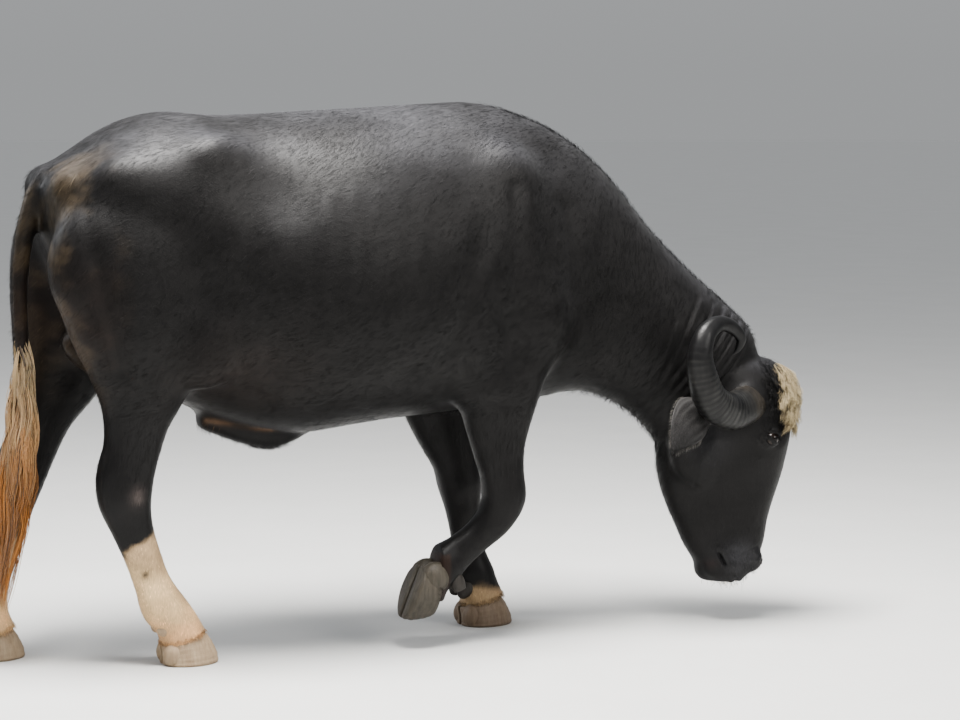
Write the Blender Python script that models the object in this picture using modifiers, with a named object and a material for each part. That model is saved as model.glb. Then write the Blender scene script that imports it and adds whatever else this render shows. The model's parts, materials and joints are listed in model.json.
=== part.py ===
"""Water buffalo: a young adult bull of a river type, grazing in mid-step, at life size.

The animal faces +X, its left side is +Y, and its hooves rest on the plane z = 0. It is shaped
whole, as lofted forms and muscle masses melted into one skin, and then parted with thin cuts.
Horns, eyes, ears, tail, claws and dewclaws are bodies of their own, let into the flesh.
"""

import math
import random

import bmesh
import bpy
import numpy as np
from mathutils import Matrix, Vector
from mathutils.bvhtree import BVHTree

# Driving dimensions, in metres
WITHERS = 1.378
BARREL_HALF = 0.352
HEAD_AXIS_X = 0.676
POLL_Z = 0.705
HORN_RADIUS = 0.050
EYE_RADIUS = 0.0205
EYE_DEPTH = 0.104
EYE_PLACE = (0.094, 0.212)
CLAW_LENGTH = 0.132
TAIL_RADIUS = 0.031
ORIGIN_SHIFT = 0.226

# How the head turns to the animal's right, about an upright axis at the neck's root
TURN = math.radians(7.0)
TURN_START = 0.20
TURN_END = 0.55

# Fineness of the skin, how much finer the face stays, and the gap that touching bodies keep
VOXEL = 0.0058
SKIN_TRIANGLES = 5700
FACE_KEPT = 0.00004
GAP = 0.0003
SEED = 11
GOLDEN_ANGLE = math.radians(137.5)

HIDE = (0.020, 0.018, 0.017)
SOCK = (0.56, 0.43, 0.33)
BLOND = (0.48, 0.33, 0.19)
HORN = (0.045, 0.040, 0.036)
HOOF = (0.20, 0.16, 0.13)
EYE = (0.012, 0.008, 0.006)


def clear_scene():
    for old in list(bpy.data.objects):
        bpy.data.objects.remove(old, do_unlink=True)


def material(name, colour, roughness):
    made = bpy.data.materials.new(name)
    made.use_nodes = True
    shader = made.node_tree.nodes["Principled BSDF"]
    shader.inputs["Base Color"].default_value = (*colour, 1.0)
    shader.inputs["Roughness"].default_value = roughness
    shader.inputs["Metallic"].default_value = 0.0
    return made


def fair(rows, steps):
    """Reads a smooth curve through the rows of a table, with so many steps to each span."""
    rows = np.asarray(rows, float)
    spans = np.linalg.norm(np.diff(rows[:, :3], axis=0), axis=1)
    at = np.concatenate([[0.0], np.cumsum(np.maximum(spans, 1e-4))])
    slopes = np.gradient(rows, at, axis=0)
    out = []
    for k in range(len(rows) - 1):
        width = at[k + 1] - at[k]
        for j in range(steps):
            t = j / steps
            a, b = 2 * t**3 - 3 * t**2 + 1, t**3 - 2 * t**2 + t
            c, d = -2 * t**3 + 3 * t**2, t**3 - t**2
            out.append(a * rows[k] + b * width * slopes[k] + c * rows[k + 1] + d * width * slopes[k + 1])
    out.append(rows[-1])
    return np.array(out)


def power(value, exponent):
    return math.copysign(abs(value) ** (2.0 / exponent), value)


def loft(rings, crescent=False):
    """Joins rings of equal count into a closed skin with a point at each end's middle.

    The ends of crescents, which run out along one side and back along the other, are strips.
    """
    rings = [np.asarray(r, float) for r in rings]
    count = len(rings[0])
    points = [p for ring in rings for p in ring]
    faces = []
    for k in range(len(rings) - 1):
        for j in range(count):
            n = (j + 1) % count
            faces.append((k * count + j, k * count + n, (k + 1) * count + n))
            faces.append((k * count + j, (k + 1) * count + n, (k + 1) * count + j))
    if crescent:
        base = (len(rings) - 1) * count
        for j in range(count // 2 - 1):
            a, b, c, d = j, j + 1, count - 2 - j, count - 1 - j
            faces += [(a, c, b), (a, d, c)]
            faces += [(base + a, base + b, base + c), (base + a, base + c, base + d)]
        return np.array(points), faces
    points += [rings[0].mean(axis=0), rings[-1].mean(axis=0)]
    first, last = len(points) - 2, len(points) - 1
    base = (len(rings) - 1) * count
    for j in range(count):
        n = (j + 1) % count
        faces.append((first, n, j))
        faces.append((last, base + j, base + n))
    return np.array(points), faces


def tube(rows, count=20, level=(0.0, 1.0, 0.0), grow=0.0):
    """A limb or horn along rows of x, y, z, depth, width, squareness: depth lies fore and aft.

    A cutter for it is larger by grow all round and past the end that is sunk in the flesh.
    """
    rows = np.asarray(rows, float)
    path = rows[:, :3]
    heading = np.gradient(path, axis=0)
    rings = []
    for k, row in enumerate(rows):
        along = heading[k] / np.linalg.norm(heading[k])
        side = np.asarray(level, float)
        side = side - along * side.dot(along)
        side /= np.linalg.norm(side)
        fore = np.cross(side, along)
        middle = path[k] - along * grow if k == 0 else path[k]
        ring = []
        for j in range(count):
            a = 2 * math.pi * j / count
            ring.append(middle + fore * (row[3] + grow) * power(math.sin(a), row[5])
                        + side * (row[4] + grow) * power(math.cos(a), row[5]))
        rings.append(ring)
    return loft(rings)


def ball(centre, radii, pitch=0.0, yaw=0.0, fineness=3):
    """A muscle or bone mass: an ellipsoid turned about the crosswise and then the upright axis."""
    form = bmesh.new()
    bmesh.ops.create_icosphere(form, subdivisions=fineness, radius=1.0)
    turn = Matrix.Rotation(yaw, 4, "Z") @ Matrix.Rotation(pitch, 4, "Y") @ Matrix.Diagonal((*radii, 1.0))
    form.transform(Matrix.Translation(centre) @ turn)
    form.verts.ensure_lookup_table()
    points = np.array([v.co[:] for v in form.verts])
    faces = [tuple(v.index for v in f.verts) for f in form.faces]
    form.free()
    return points, faces


def block(frame):
    form = bmesh.new()
    bmesh.ops.create_cube(form, size=1.0, matrix=frame)
    points = np.array([v.co[:] for v in form.verts])
    faces = [tuple(v.index for v in f.verts) for f in form.faces]
    form.free()
    return points, faces


def joined(pieces):
    points, faces, base = [], [], 0
    for some, ring in pieces:
        points.append(some)
        faces += [tuple(i + base for i in face) for face in ring]
        base += len(some)
    return np.concatenate(points), faces


def make_object(name, points, faces, collection):
    mesh = bpy.data.meshes.new(name)
    mesh.from_pydata([tuple(p) for p in points], [], [tuple(f) for f in faces])
    form = bmesh.new()
    form.from_mesh(mesh)
    bmesh.ops.recalc_face_normals(form, faces=form.faces)
    if form.calc_volume(signed=True) < 0:
        bmesh.ops.reverse_faces(form, faces=form.faces)
    form.to_mesh(mesh)
    form.free()
    made = bpy.data.objects.new(name, mesh)
    collection.objects.link(made)
    return made


def applied(thing):
    """Bakes an object's modifiers into its mesh."""
    graph = bpy.context.evaluated_depsgraph_get()
    fresh = bpy.data.meshes.new_from_object(thing.evaluated_get(graph))
    old = thing.data
    thing.modifiers.clear()
    thing.data = fresh
    bpy.data.meshes.remove(old)
    return thing


def islands(form):
    """The separate closed surfaces of a mesh, as lists of faces, largest volume first."""
    form.faces.ensure_lookup_table()
    seen, groups = set(), []
    for start in form.faces:
        if start.index in seen:
            continue
        seen.add(start.index)
        group, queue = [], [start]
        while queue:
            face = queue.pop()
            group.append(face)
            for edge in face.edges:
                for other in edge.link_faces:
                    if other.index not in seen:
                        seen.add(other.index)
                        queue.append(other)
        groups.append(group)

    def volume(group):
        total = 0.0
        for face in group:
            corner = face.verts[0].co
            for k in range(1, len(face.verts) - 1):
                total += corner.dot(face.verts[k].co.cross(face.verts[k + 1].co))
        return abs(total)

    groups.sort(key=volume, reverse=True)
    return groups


def keep_largest(thing):
    form = bmesh.new()
    form.from_mesh(thing.data)
    groups = islands(form)
    scrap = [face for group in groups[1:] for face in group]
    bmesh.ops.delete(form, geom=scrap, context="FACES")
    form.to_mesh(thing.data)
    form.free()


def combine(thing, operation, tools, keep=True):
    """Cuts closed meshes out of a body, or fuses them to it, in one exact Boolean."""
    box = bpy.data.collections.new("tools")
    bpy.context.scene.collection.children.link(box)
    for k, (points, faces) in enumerate(tools):
        tool = make_object(f"tool_{k}", points, faces, box)
        tool.hide_render = True
    boolean = thing.modifiers.new("Combine", "BOOLEAN")
    boolean.operation = operation
    boolean.operand_type = "COLLECTION"
    boolean.collection = box
    boolean.solver = "EXACT"
    applied(thing)
    for tool in list(box.objects):
        bpy.data.objects.remove(tool, do_unlink=True)
    bpy.data.collections.remove(box)
    if keep:
        keep_largest(thing)
    return thing


def turned(points):
    """Turns the neck and head smoothly to the animal's right."""
    out = np.array(points, float)
    t = np.clip((out[:, 0] - TURN_START) / (TURN_END - TURN_START), 0.0, 1.0)
    angle = TURN * t * t * (3 - 2 * t)
    x, y = out[:, 0] - TURN_START, out[:, 1].copy()
    out[:, 0] = TURN_START + x * np.cos(angle) + y * np.sin(angle)
    out[:, 1] = y * np.cos(angle) - x * np.sin(angle)
    return out


def in_head(side, front, down):
    """A place in the head: out to the animal's left, out of the forehead, and down from the poll."""
    return (HEAD_AXIS_X + front, side, POLL_Z - down)


# Trunk and neck: stations from the rump to the throat. Each gives the top point x, z, the bottom
# point x, z, the half width as a share of the barrel's, where up the section it is widest, and
# the squareness of its upper and lower half.
TRUNK = [
    (-1.160, 1.180, -1.150, 1.06, 0.22, 0.62, 2.0, 2.0),
    (-1.125, 1.222, -1.120, 0.98, 0.46, 0.66, 2.2, 2.0),
    (-1.060, 1.266, -1.060, 0.88, 0.62, 0.70, 2.3, 2.0),
    (-0.960, 1.328, -0.960, 0.76, 0.72, 0.70, 2.2, 2.1),
    (-0.850, 1.357, -0.850, 0.66, 0.79, 0.66, 2.1, 2.2),
    (-0.740, 1.347, -0.740, 0.600, 0.86, 0.58, 2.1, 2.2),
    (-0.620, 1.348, -0.620, 0.560, 0.94, 0.50, 2.1, 2.2),
    (-0.500, 1.355, -0.500, 0.548, 1.00, 0.46, 2.0, 2.2),
    (-0.380, 1.360, -0.380, 0.562, 1.00, 0.45, 2.0, 2.2),
    (-0.260, 1.367, -0.260, 0.574, 0.95, 0.45, 1.9, 2.2),
    (-0.140, 1.374, -0.140, 0.580, 0.87, 0.45, 1.85, 2.1),
    (-0.020, WITHERS, -0.020, 0.590, 0.78, 0.46, 1.8, 2.0),
    (0.080, 1.352, 0.075, 0.602, 0.69, 0.47, 1.75, 2.0),
    (0.170, 1.320, 0.140, 0.610, 0.61, 0.47, 1.7, 2.0),
    (0.280, 1.252, 0.215, 0.618, 0.52, 0.48, 1.8, 2.0),
    (0.370, 1.165, 0.280, 0.620, 0.455, 0.48, 1.9, 2.0),
    (0.460, 1.050, 0.342, 0.604, 0.405, 0.48, 2.0, 2.0),
    (0.575, 0.930, 0.398, 0.574, 0.355, 0.48, 2.0, 2.0),
    (0.680, 0.838, 0.448, 0.532, 0.320, 0.50, 2.1, 2.0),
    (0.745, 0.772, 0.492, 0.482, 0.290, 0.52, 2.1, 2.0),
    (0.770, 0.700, 0.556, 0.460, 0.200, 0.55, 2.1, 2.0),
]


def trunk(count=40):
    rings = []
    for row in fair([(r[0], r[1], 0.0, *r) for r in TRUNK], 3):
        top_x, top_z, low_x, low_z, share, high, upper, lower = row[3:]
        top, low = np.array([top_x, 0.0, top_z]), np.array([low_x, 0.0, low_z])
        half = BARREL_HALF * share
        middle = low + (top - low) * high
        ring = []
        for j in range(count):
            a = 2 * math.pi * j / count
            c, s = math.cos(a), math.sin(a)
            reach, blunt = (top - middle, upper) if s > 0 else (middle - low, lower)
            ring.append(middle + reach * power(s, blunt) + np.array([0, half * power(c, blunt), 0]))
        rings.append(ring)
    return loft(rings)


# Head: down from the poll, how far the front and the back stand off the axis, half width, where
# the widest line lies, and squareness, front and back
SKULL = [
    (0.000, 0.070, -0.050, 0.064, 0.010, 2.2, 2.0),
    (0.030, 0.116, -0.085, 0.094, 0.020, 2.2, 2.0),
    (0.080, 0.152, -0.110, 0.112, 0.030, 2.3, 2.0),
    (0.140, 0.172, -0.150, 0.120, 0.050, 2.4, 2.0),
    (0.200, 0.174, -0.176, 0.120, 0.060, 2.6, 2.0),
    (0.260, 0.166, -0.188, 0.106, 0.050, 2.6, 2.0),
    (0.320, 0.152, -0.184, 0.091, 0.035, 2.6, 2.1),
    (0.380, 0.134, -0.165, 0.080, 0.022, 2.6, 2.2),
    (0.440, 0.118, -0.138, 0.073, 0.012, 2.5, 2.3),
    (0.500, 0.108, -0.110, 0.071, 0.005, 2.5, 2.4),
    (0.550, 0.084, -0.078, 0.072, 0.000, 2.5, 2.4),
    (0.585, 0.064, -0.062, 0.063, 0.000, 2.3, 2.3),
    (0.600, 0.044, -0.044, 0.046, 0.000, 2.1, 2.1),
]


def skull(count=32):
    rings = []
    for row in fair([(r[0], 0.0, 0.0, *r) for r in SKULL], 3):
        down, front, back, half, wide, blunt_front, blunt_back = row[3:]
        ring = []
        for j in range(count):
            a = 2 * math.pi * j / count
            c, s = math.cos(a), math.sin(a)
            reach, blunt = (front - wide, blunt_front) if s > 0 else (wide - back, blunt_back)
            ring.append(in_head(half * power(c, blunt), wide + reach * power(s, blunt), down))
        rings.append(ring)
    return loft(rings)


# Limbs: x, y outward, z, half depth fore and aft, half width, squareness
FORE_RIGHT = [
    (0.000, 0.150, 0.86, 0.170, 0.090, 2.0),
    (-0.008, 0.158, 0.75, 0.150, 0.092, 2.0),
    (-0.014, 0.158, 0.66, 0.122, 0.080, 2.0),
    (-0.014, 0.154, 0.58, 0.096, 0.066, 2.0),
    (-0.010, 0.150, 0.50, 0.072, 0.055, 2.1),
    (0.000, 0.148, 0.43, 0.058, 0.052, 2.3),
    (0.005, 0.147, 0.375, 0.058, 0.052, 2.4),
    (-0.020, 0.145, 0.320, 0.050, 0.044, 2.2),
    (-0.066, 0.141, 0.276, 0.043, 0.038, 2.1),
    (-0.115, 0.137, 0.238, 0.046, 0.040, 2.1),
    (-0.158, 0.134, 0.205, 0.056, 0.053, 2.2),
    (-0.190, 0.132, 0.172, 0.053, 0.054, 2.2),
    (-0.209, 0.131, 0.140, 0.058, 0.060, 2.2),
]
FORE_LEFT = [
    (-0.030, 0.150, 0.86, 0.170, 0.090, 2.0),
    (-0.045, 0.156, 0.75, 0.150, 0.090, 2.0),
    (-0.056, 0.152, 0.66, 0.126, 0.080, 2.0),
    (-0.054, 0.146, 0.58, 0.104, 0.068, 2.0),
    (-0.036, 0.140, 0.50, 0.080, 0.058, 2.1),
    (-0.014, 0.136, 0.43, 0.063, 0.054, 2.3),
    (-0.004, 0.133, 0.375, 0.060, 0.054, 2.4),
    (0.002, 0.130, 0.320, 0.050, 0.046, 2.2),
    (0.010, 0.128, 0.250, 0.043, 0.038, 2.1),
    (0.020, 0.126, 0.190, 0.045, 0.040, 2.1),
    (0.030, 0.125, 0.140, 0.055, 0.053, 2.2),
    (0.044, 0.124, 0.100, 0.054, 0.055, 2.2),
    (0.056, 0.123, 0.060, 0.060, 0.062, 2.2),
]
HIND_RIGHT = [
    (-0.930, 0.140, 1.12, 0.200, 0.100, 2.0),
    (-0.950, 0.160, 1.00, 0.215, 0.120, 2.0),
    (-0.952, 0.165, 0.88, 0.195, 0.120, 2.0),
    (-0.944, 0.160, 0.78, 0.165, 0.104, 2.0),
    (-0.945, 0.150, 0.69, 0.124, 0.084, 2.0),
    (-0.955, 0.142, 0.61, 0.086, 0.066, 2.0),
    (-0.966, 0.136, 0.54, 0.073, 0.055, 2.1),
    (-0.983, 0.131, 0.47, 0.074, 0.052, 2.2),
    (-0.983, 0.128, 0.42, 0.069, 0.052, 2.3),
    (-0.965, 0.124, 0.35, 0.054, 0.044, 2.2),
    (-0.936, 0.121, 0.27, 0.047, 0.038, 2.1),
    (-0.910, 0.117, 0.20, 0.048, 0.040, 2.1),
    (-0.884, 0.113, 0.145, 0.057, 0.052, 2.2),
    (-0.852, 0.110, 0.105, 0.054, 0.055, 2.2),
    (-0.832, 0.108, 0.060, 0.060, 0.062, 2.2),
]
HIND_LEFT = [
    (-0.950, 0.140, 1.12, 0.200, 0.100, 2.0),
    (-0.985, 0.160, 1.00, 0.205, 0.118, 2.0),
    (-1.015, 0.165, 0.88, 0.185, 0.118, 2.0),
    (-1.045, 0.162, 0.78, 0.155, 0.100, 2.0),
    (-1.080, 0.156, 0.69, 0.118, 0.080, 2.0),
    (-1.115, 0.150, 0.61, 0.086, 0.064, 2.0),
    (-1.140, 0.146, 0.54, 0.071, 0.053, 2.1),
    (-1.172, 0.143, 0.47, 0.070, 0.050, 2.2),
    (-1.188, 0.141, 0.42, 0.064, 0.049, 2.3),
    (-1.205, 0.138, 0.35, 0.050, 0.042, 2.2),
    (-1.230, 0.136, 0.27, 0.047, 0.038, 2.1),
    (-1.252, 0.135, 0.20, 0.048, 0.040, 2.1),
    (-1.270, 0.134, 0.145, 0.057, 0.052, 2.2),
    (-1.264, 0.134, 0.105, 0.054, 0.055, 2.2),
    (-1.252, 0.134, 0.060, 0.060, 0.062, 2.2),
]
LIMBS = {
    "fore_leg_right": (FORE_RIGHT, -1),
    "fore_leg_left": (FORE_LEFT, 1),
    "hind_leg_right": (HIND_RIGHT, -1),
    "hind_leg_left": (HIND_LEFT, 1),
}


def limb(rows, side):
    rows = fair(rows, 3)
    rows[:, 1] *= side
    return tube(rows, 24)


# The sheath under the belly, from its root forward, as the limbs' rows
SHEATH = [
    (-0.760, 0.0, 0.592, 0.024, 0.034, 2.0),
    (-0.690, 0.0, 0.574, 0.034, 0.042, 2.0),
    (-0.620, 0.0, 0.556, 0.040, 0.044, 2.0),
    (-0.560, 0.0, 0.548, 0.040, 0.042, 2.0),
    (-0.515, 0.0, 0.556, 0.034, 0.040, 2.0),
    (-0.460, 0.0, 0.578, 0.026, 0.034, 2.0),
]


def masses():
    """Muscles and bones that stand out of the plain lofts, left and right."""
    out = []
    for side in (-1, 1):
        out += [
            ball((-0.765, side * 0.200, 1.252), (0.100, 0.066, 0.066), 0.10, -side * 0.30),
            ball((-0.900, side * 0.165, 1.222), (0.185, 0.062, 0.072), -0.20),
            ball((-0.815, side * 0.195, 1.120), (0.095, 0.078, 0.170), 0.05),
            ball((-1.100, side * 0.130, 1.172), (0.070, 0.048, 0.062), 0.30),
            ball((-0.900, side * 0.185, 1.140), (0.200, 0.085, 0.120), 0.35),
            ball((-0.968, side * 0.178, 0.985), (0.222, 0.108, 0.205), 0.10),
            ball((-0.785, side * 0.220, 0.822), (0.105, 0.066, 0.148), 0.35),
            ball((-0.030, side * 0.178, 1.060), (0.130, 0.080, 0.230), 0.20),
            ball((0.070, side * 0.180, 0.860), (0.110, 0.080, 0.150), -0.35),
            ball((-0.120, side * 0.205, 0.830), (0.125, 0.080, 0.170), 0.45),
            ball((-0.055, side * 0.175, 0.690), (0.115, 0.075, 0.110), 0.10),
        ]
    out.append(ball((0.150, 0.0, 0.700), (0.110, 0.105, 0.090), 0.3))
    out.append(tube(fair(SHEATH, 3), 20))
    out.append(ball((-0.960, 0.0, 0.760), (0.160, 0.075, 0.080), 0.3))
    return out


def head_masses():
    out = []
    for side in (-1, 1):
        out += [
            ball(in_head(side * 0.100, 0.100, 0.185), (0.038, 0.030, 0.048)),
            ball(in_head(side * 0.064, -0.090, 0.240), (0.085, 0.042, 0.105), -0.15),
            ball(in_head(side * 0.044, 0.062, 0.540), (0.034, 0.032, 0.036)),
            ball(in_head(side * 0.040, -0.010, 0.560), (0.060, 0.030, 0.034)),
            ball(in_head(side * 0.080, 0.034, 0.114), (0.066, 0.052, 0.068)),
            ball(in_head(side * 0.088, -0.112, 0.142), (0.042, 0.040, 0.042)),
        ]
    out.append(ball(in_head(0.0, 0.100, 0.110), (0.085, 0.088, 0.105)))
    out.append(ball(in_head(0.0, -0.040, 0.562), (0.042, 0.048, 0.040)))
    return out


def fused_skin():
    """Melts the forms into one closed skin and smooths it, less on the head and the lower legs."""
    collection = bpy.context.scene.collection
    pieces = [trunk(), skull()] + masses() + head_masses()
    pieces += [limb(rows, side) for rows, side in LIMBS.values()]
    points, faces = joined(pieces)
    skin = make_object("skin", points, faces, collection)
    remesh = skin.modifiers.new("Melt", "REMESH")
    remesh.mode = "VOXEL"
    remesh.voxel_size = VOXEL
    remesh.adaptivity = 0.0
    applied(skin)
    keep_largest(skin)
    return skin


def read_mesh(mesh):
    points = np.empty(len(mesh.vertices) * 3)
    mesh.vertices.foreach_get("co", points)
    edges = np.empty(len(mesh.edges) * 2, dtype=np.int64)
    mesh.edges.foreach_get("vertices", edges)
    return points.reshape(-1, 3), edges.reshape(-1, 2)


def write_points(mesh, points):
    mesh.vertices.foreach_set("co", np.asarray(points, float).ravel())
    mesh.update()


def normals_of(mesh):
    out = np.empty(len(mesh.vertices) * 3)
    mesh.vertices.foreach_get("normal", out)
    return out.reshape(-1, 3)


def smoothed(points, edges, rounds, weight, give_back=0.36):
    """Evens the skin; what each round shrinks is given back unless give_back is 0."""
    degree = np.bincount(edges.ravel(), minlength=len(points)).astype(float)[:, None]
    for k in range(rounds):
        total = np.zeros_like(points)
        for axis in range(3):
            total[:, axis] = (np.bincount(edges[:, 0], points[edges[:, 1], axis], len(points))
                              + np.bincount(edges[:, 1], points[edges[:, 0], axis], len(points)))
        step = 0.62 if k % 2 == 0 or give_back == 0.0 else -give_back
        points = points + weight * step * (total / degree - points)
    return points


def swell(points, normals, centre, reach, height):
    """Raises the skin about a place, or sinks it for a negative height."""
    away = (points - np.asarray(centre)) / np.asarray(reach)
    return points + normals * (height * np.exp(-(away**2).sum(axis=1)))[:, None]


def distance_to_path(points, path):
    best = np.full(len(points), 1e9)
    for a, b in zip(path[:-1], path[1:]):
        a, b = np.asarray(a, float), np.asarray(b, float)
        along = b - a
        t = np.clip(((points - a) @ along) / (along @ along), 0.0, 1.0)
        best = np.minimum(best, np.linalg.norm(points - (a + t[:, None] * along), axis=1))
    return best


def stroke(points, normals, path, width, height):
    """Draws a rounded ridge, or for a negative height a groove, along a path near the skin."""
    away = distance_to_path(points, path) / width
    return points + normals * (height * np.exp(-away**2))[:, None]


# point of the hip bone, as x backwards, y outwards and z, and how far its skin is drawn smooth
HOOK = (0.765, 0.240, 1.240)
HOOK_REACH = 0.130


def shaped_skin():
    skin = fused_skin()
    points, edges = read_mesh(skin.data)
    in_face = np.clip((points[:, 0] - 0.50) / 0.10, 0, 1) * np.clip((0.76 - points[:, 2]) / 0.08, 0, 1)
    low = np.clip((0.50 - points[:, 2]) / 0.12, 0, 1) * (points[:, 0] < 0.3)
    weight = (1.0 - 0.75 * np.maximum(in_face, low))[:, None]
    points = smoothed(points, edges, 70, weight)
    trunk_only = np.clip((points[:, 2] - 0.62) / 0.12, 0, 1) * np.clip((0.58 - points[:, 0]) / 0.12, 0, 1)
    points = smoothed(points, edges, 60, trunk_only[:, None], 0.0)
    from_hook = np.linalg.norm(np.abs(points) - HOOK, axis=1)
    points = smoothed(points, edges, 140, np.exp(-(from_hook / HOOK_REACH) ** 2)[:, None], 0.0)
    write_points(skin.data, points)
    normals = normals_of(skin.data)
    for side in (-1, 1):
        behind_shoulder = [(-0.06, side * 0.30, 1.20), (-0.09, side * 0.32, 1.10),
                           (-0.155, side * 0.33, 0.86), (-0.20, side * 0.31, 0.74),
                           (-0.23, side * 0.27, 0.66)]
        points = stroke(points, normals, behind_shoulder, 0.033, -0.013)
        points = swell(points, normals, (-0.63, side * 0.30, 1.16), (0.09, 0.10, 0.10), -0.018)
        points = swell(points, normals, (-0.66, side * 0.27, 0.72), (0.06, 0.12, 0.09), -0.012)
        upper_arm = [(-0.075, side * 0.27, 0.92), (-0.02, side * 0.26, 0.80), (0.0, side * 0.24, 0.70)]
        points = stroke(points, normals, upper_arm, 0.022, -0.008)
        points = swell(points, normals, in_head(side * 0.115, *EYE_PLACE), (0.022, 0.03, 0.017), -0.006)
        for squash, ring_height in ((1.0, 0.0075), (1.75, 0.0035)):
            ring = [in_head(side * 0.114, EYE_PLACE[0] + 0.021 * squash * math.cos(a),
                            EYE_PLACE[1] + 0.0135 * squash * math.sin(a))
                    for a in np.linspace(0, 2 * math.pi, 17)]
            points = stroke(points, normals, ring, 0.0065, ring_height)
        mouth = [in_head(side * 0.004, 0.036, 0.608), in_head(side * 0.032, 0.026, 0.602),
                 in_head(side * 0.058, 0.004, 0.580), in_head(side * 0.070, -0.020, 0.545),
                 in_head(side * 0.073, -0.044, 0.505)]
        points = stroke(points, normals, mouth, 0.006, -0.010)
        points = stroke(points, normals, [np.add(p, (0.016, 0, 0.004)) for p in mouth], 0.008, 0.004)
        rim = [in_head(side * 0.026, 0.104, 0.548), in_head(side * 0.046, 0.104, 0.532),
               in_head(side * 0.070, 0.086, 0.522)]
        points = stroke(points, normals, rim, 0.010, 0.007)
    write_points(skin.data, smoothed(points, edges, 4, weight * 0.6))
    face = skin.vertex_groups.new(name="face")
    eyes = np.linalg.norm(np.abs(points) - np.array(in_head(0.115, *EYE_PLACE)), axis=1) < 0.045
    fine = in_face * np.where(eyes | (points[:, 2] < POLL_Z - 0.49), 0.93, 0.35)
    for level in np.unique(np.round(fine[fine > 0.05], 1)):
        face.add([int(k) for k in np.nonzero(np.round(fine, 1) == level)[0]], float(level), "REPLACE")
    thin = skin.modifiers.new("Thin", "DECIMATE")
    thin.ratio = SKIN_TRIANGLES / (2.0 * len(skin.data.polygons))
    thin.vertex_group = face.name
    thin.invert_vertex_group = True
    thin.vertex_group_factor = FACE_KEPT
    applied(skin)
    points, _ = read_mesh(skin.data)
    write_points(skin.data, turned(points))
    keep_largest(skin)
    return skin


# Horns: places in the head frame along the right horn's curl, side out of the head, with a
# share of the root radius
HORN_CURL = [
    (0.060, 0.060, 0.105, 1.00),
    (0.108, 0.022, 0.120, 1.00),
    (0.159, -0.040, 0.130, 0.96),
    (0.203, -0.104, 0.098, 0.88),
    (0.234, -0.140, 0.039, 0.79),
    (0.246, -0.153, -0.027, 0.66),
    (0.237, -0.134, -0.079, 0.54),
    (0.217, -0.095, -0.102, 0.43),
    (0.197, -0.047, -0.089, 0.35),
    (0.186, -0.021, -0.057, 0.26),
    (0.182, -0.033, -0.027, 0.12),
]


def horn(side, grow=0.0):
    rows = []
    for out, front, down, share in HORN_CURL:
        radius = HORN_RADIUS * share
        rows.append((*in_head(side * out, front, down), radius, radius * 0.86, 2.2))
    points, faces = tube(fair(rows, 2), 12, level=(0.25, 1.0, 0.0), grow=grow)
    return turned(points), faces


# Ears: along the ear, half width, hollow depth and how far the rim rolls, from root to tip
EAR_ROWS = [
    (0.00, 0.026, 0.026, 2.60),
    (0.12, 0.030, 0.028, 2.30),
    (0.25, 0.045, 0.030, 1.90),
    (0.42, 0.059, 0.026, 1.55),
    (0.60, 0.058, 0.020, 1.40),
    (0.78, 0.042, 0.014, 1.35),
    (0.92, 0.022, 0.008, 1.35),
    (1.00, 0.007, 0.004, 1.35),
]
# The curve that each ear hangs along, in the head frame: root, bend and tip
EAR_CURVE = {
    -1: ((0.098, -0.090, 0.146), (0.185, -0.170, 0.128), (0.262, -0.235, 0.219)),
    1: ((0.095, -0.125, 0.160), (0.165, -0.085, 0.260), (0.285, 0.010, 0.285)),
}
EAR_STALK = 0.032
# Which way the back of each ear faces
EAR_BACK = {-1: (0.50, -0.70, 0.35), 1: (-0.35, 0.75, 0.55)}


def ear_line(side):
    """Reads the ear's curve as a function of the share of its length, stalk included."""
    root, bend, tip = (np.array(in_head(side * o, f, d)) for o, f, d in EAR_CURVE[side])
    start = 2.0 * (bend - root)

    def at(t):
        if t <= 0.0:
            return root + start * t, start
        place = (1 - t) ** 2 * root + 2 * t * (1 - t) * bend + t * t * tip
        return place, 2.0 * ((1 - t) * (bend - root) + t * (tip - bend))

    return at, EAR_STALK / np.linalg.norm(start)


def ear(side):
    """A leaf with a hollow: its rings are crescents that close up to a stalk at the root."""
    line, stalk = ear_line(side)
    half_count = 7
    rings = []
    for t, half, depth, roll in fair([(r[0], 0, 0, *r) for r in EAR_ROWS], 2)[:, 3:]:
        centre, along = line(t * (1.0 + stalk) - stalk)
        along = along / np.linalg.norm(along)
        outer = np.array(EAR_BACK[side])
        outer -= along * outer.dot(along)
        outer /= np.linalg.norm(outer)
        across = np.cross(along, outer) * side
        wall = 0.0055 * (1.0 - 0.55 * t)
        spread = max(math.sin(min(roll, 1.57)), 0.6)
        inner_half, inner_depth = max(half - wall, 0.002), max(depth - 2 * wall, -0.004)
        ring = []
        for reach, hollow, span in ((half, depth, 1.0), (inner_half, inner_depth, -0.93)):
            for j in range(half_count):
                a = span * roll * (2.0 * j / (half_count - 1) - 1.0)
                ring.append(centre + across * reach * math.sin(a) / spread + outer * hollow * math.cos(a))
        rings.append(ring)
    points, faces = loft(rings, crescent=True)
    return turned(points), faces


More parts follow.
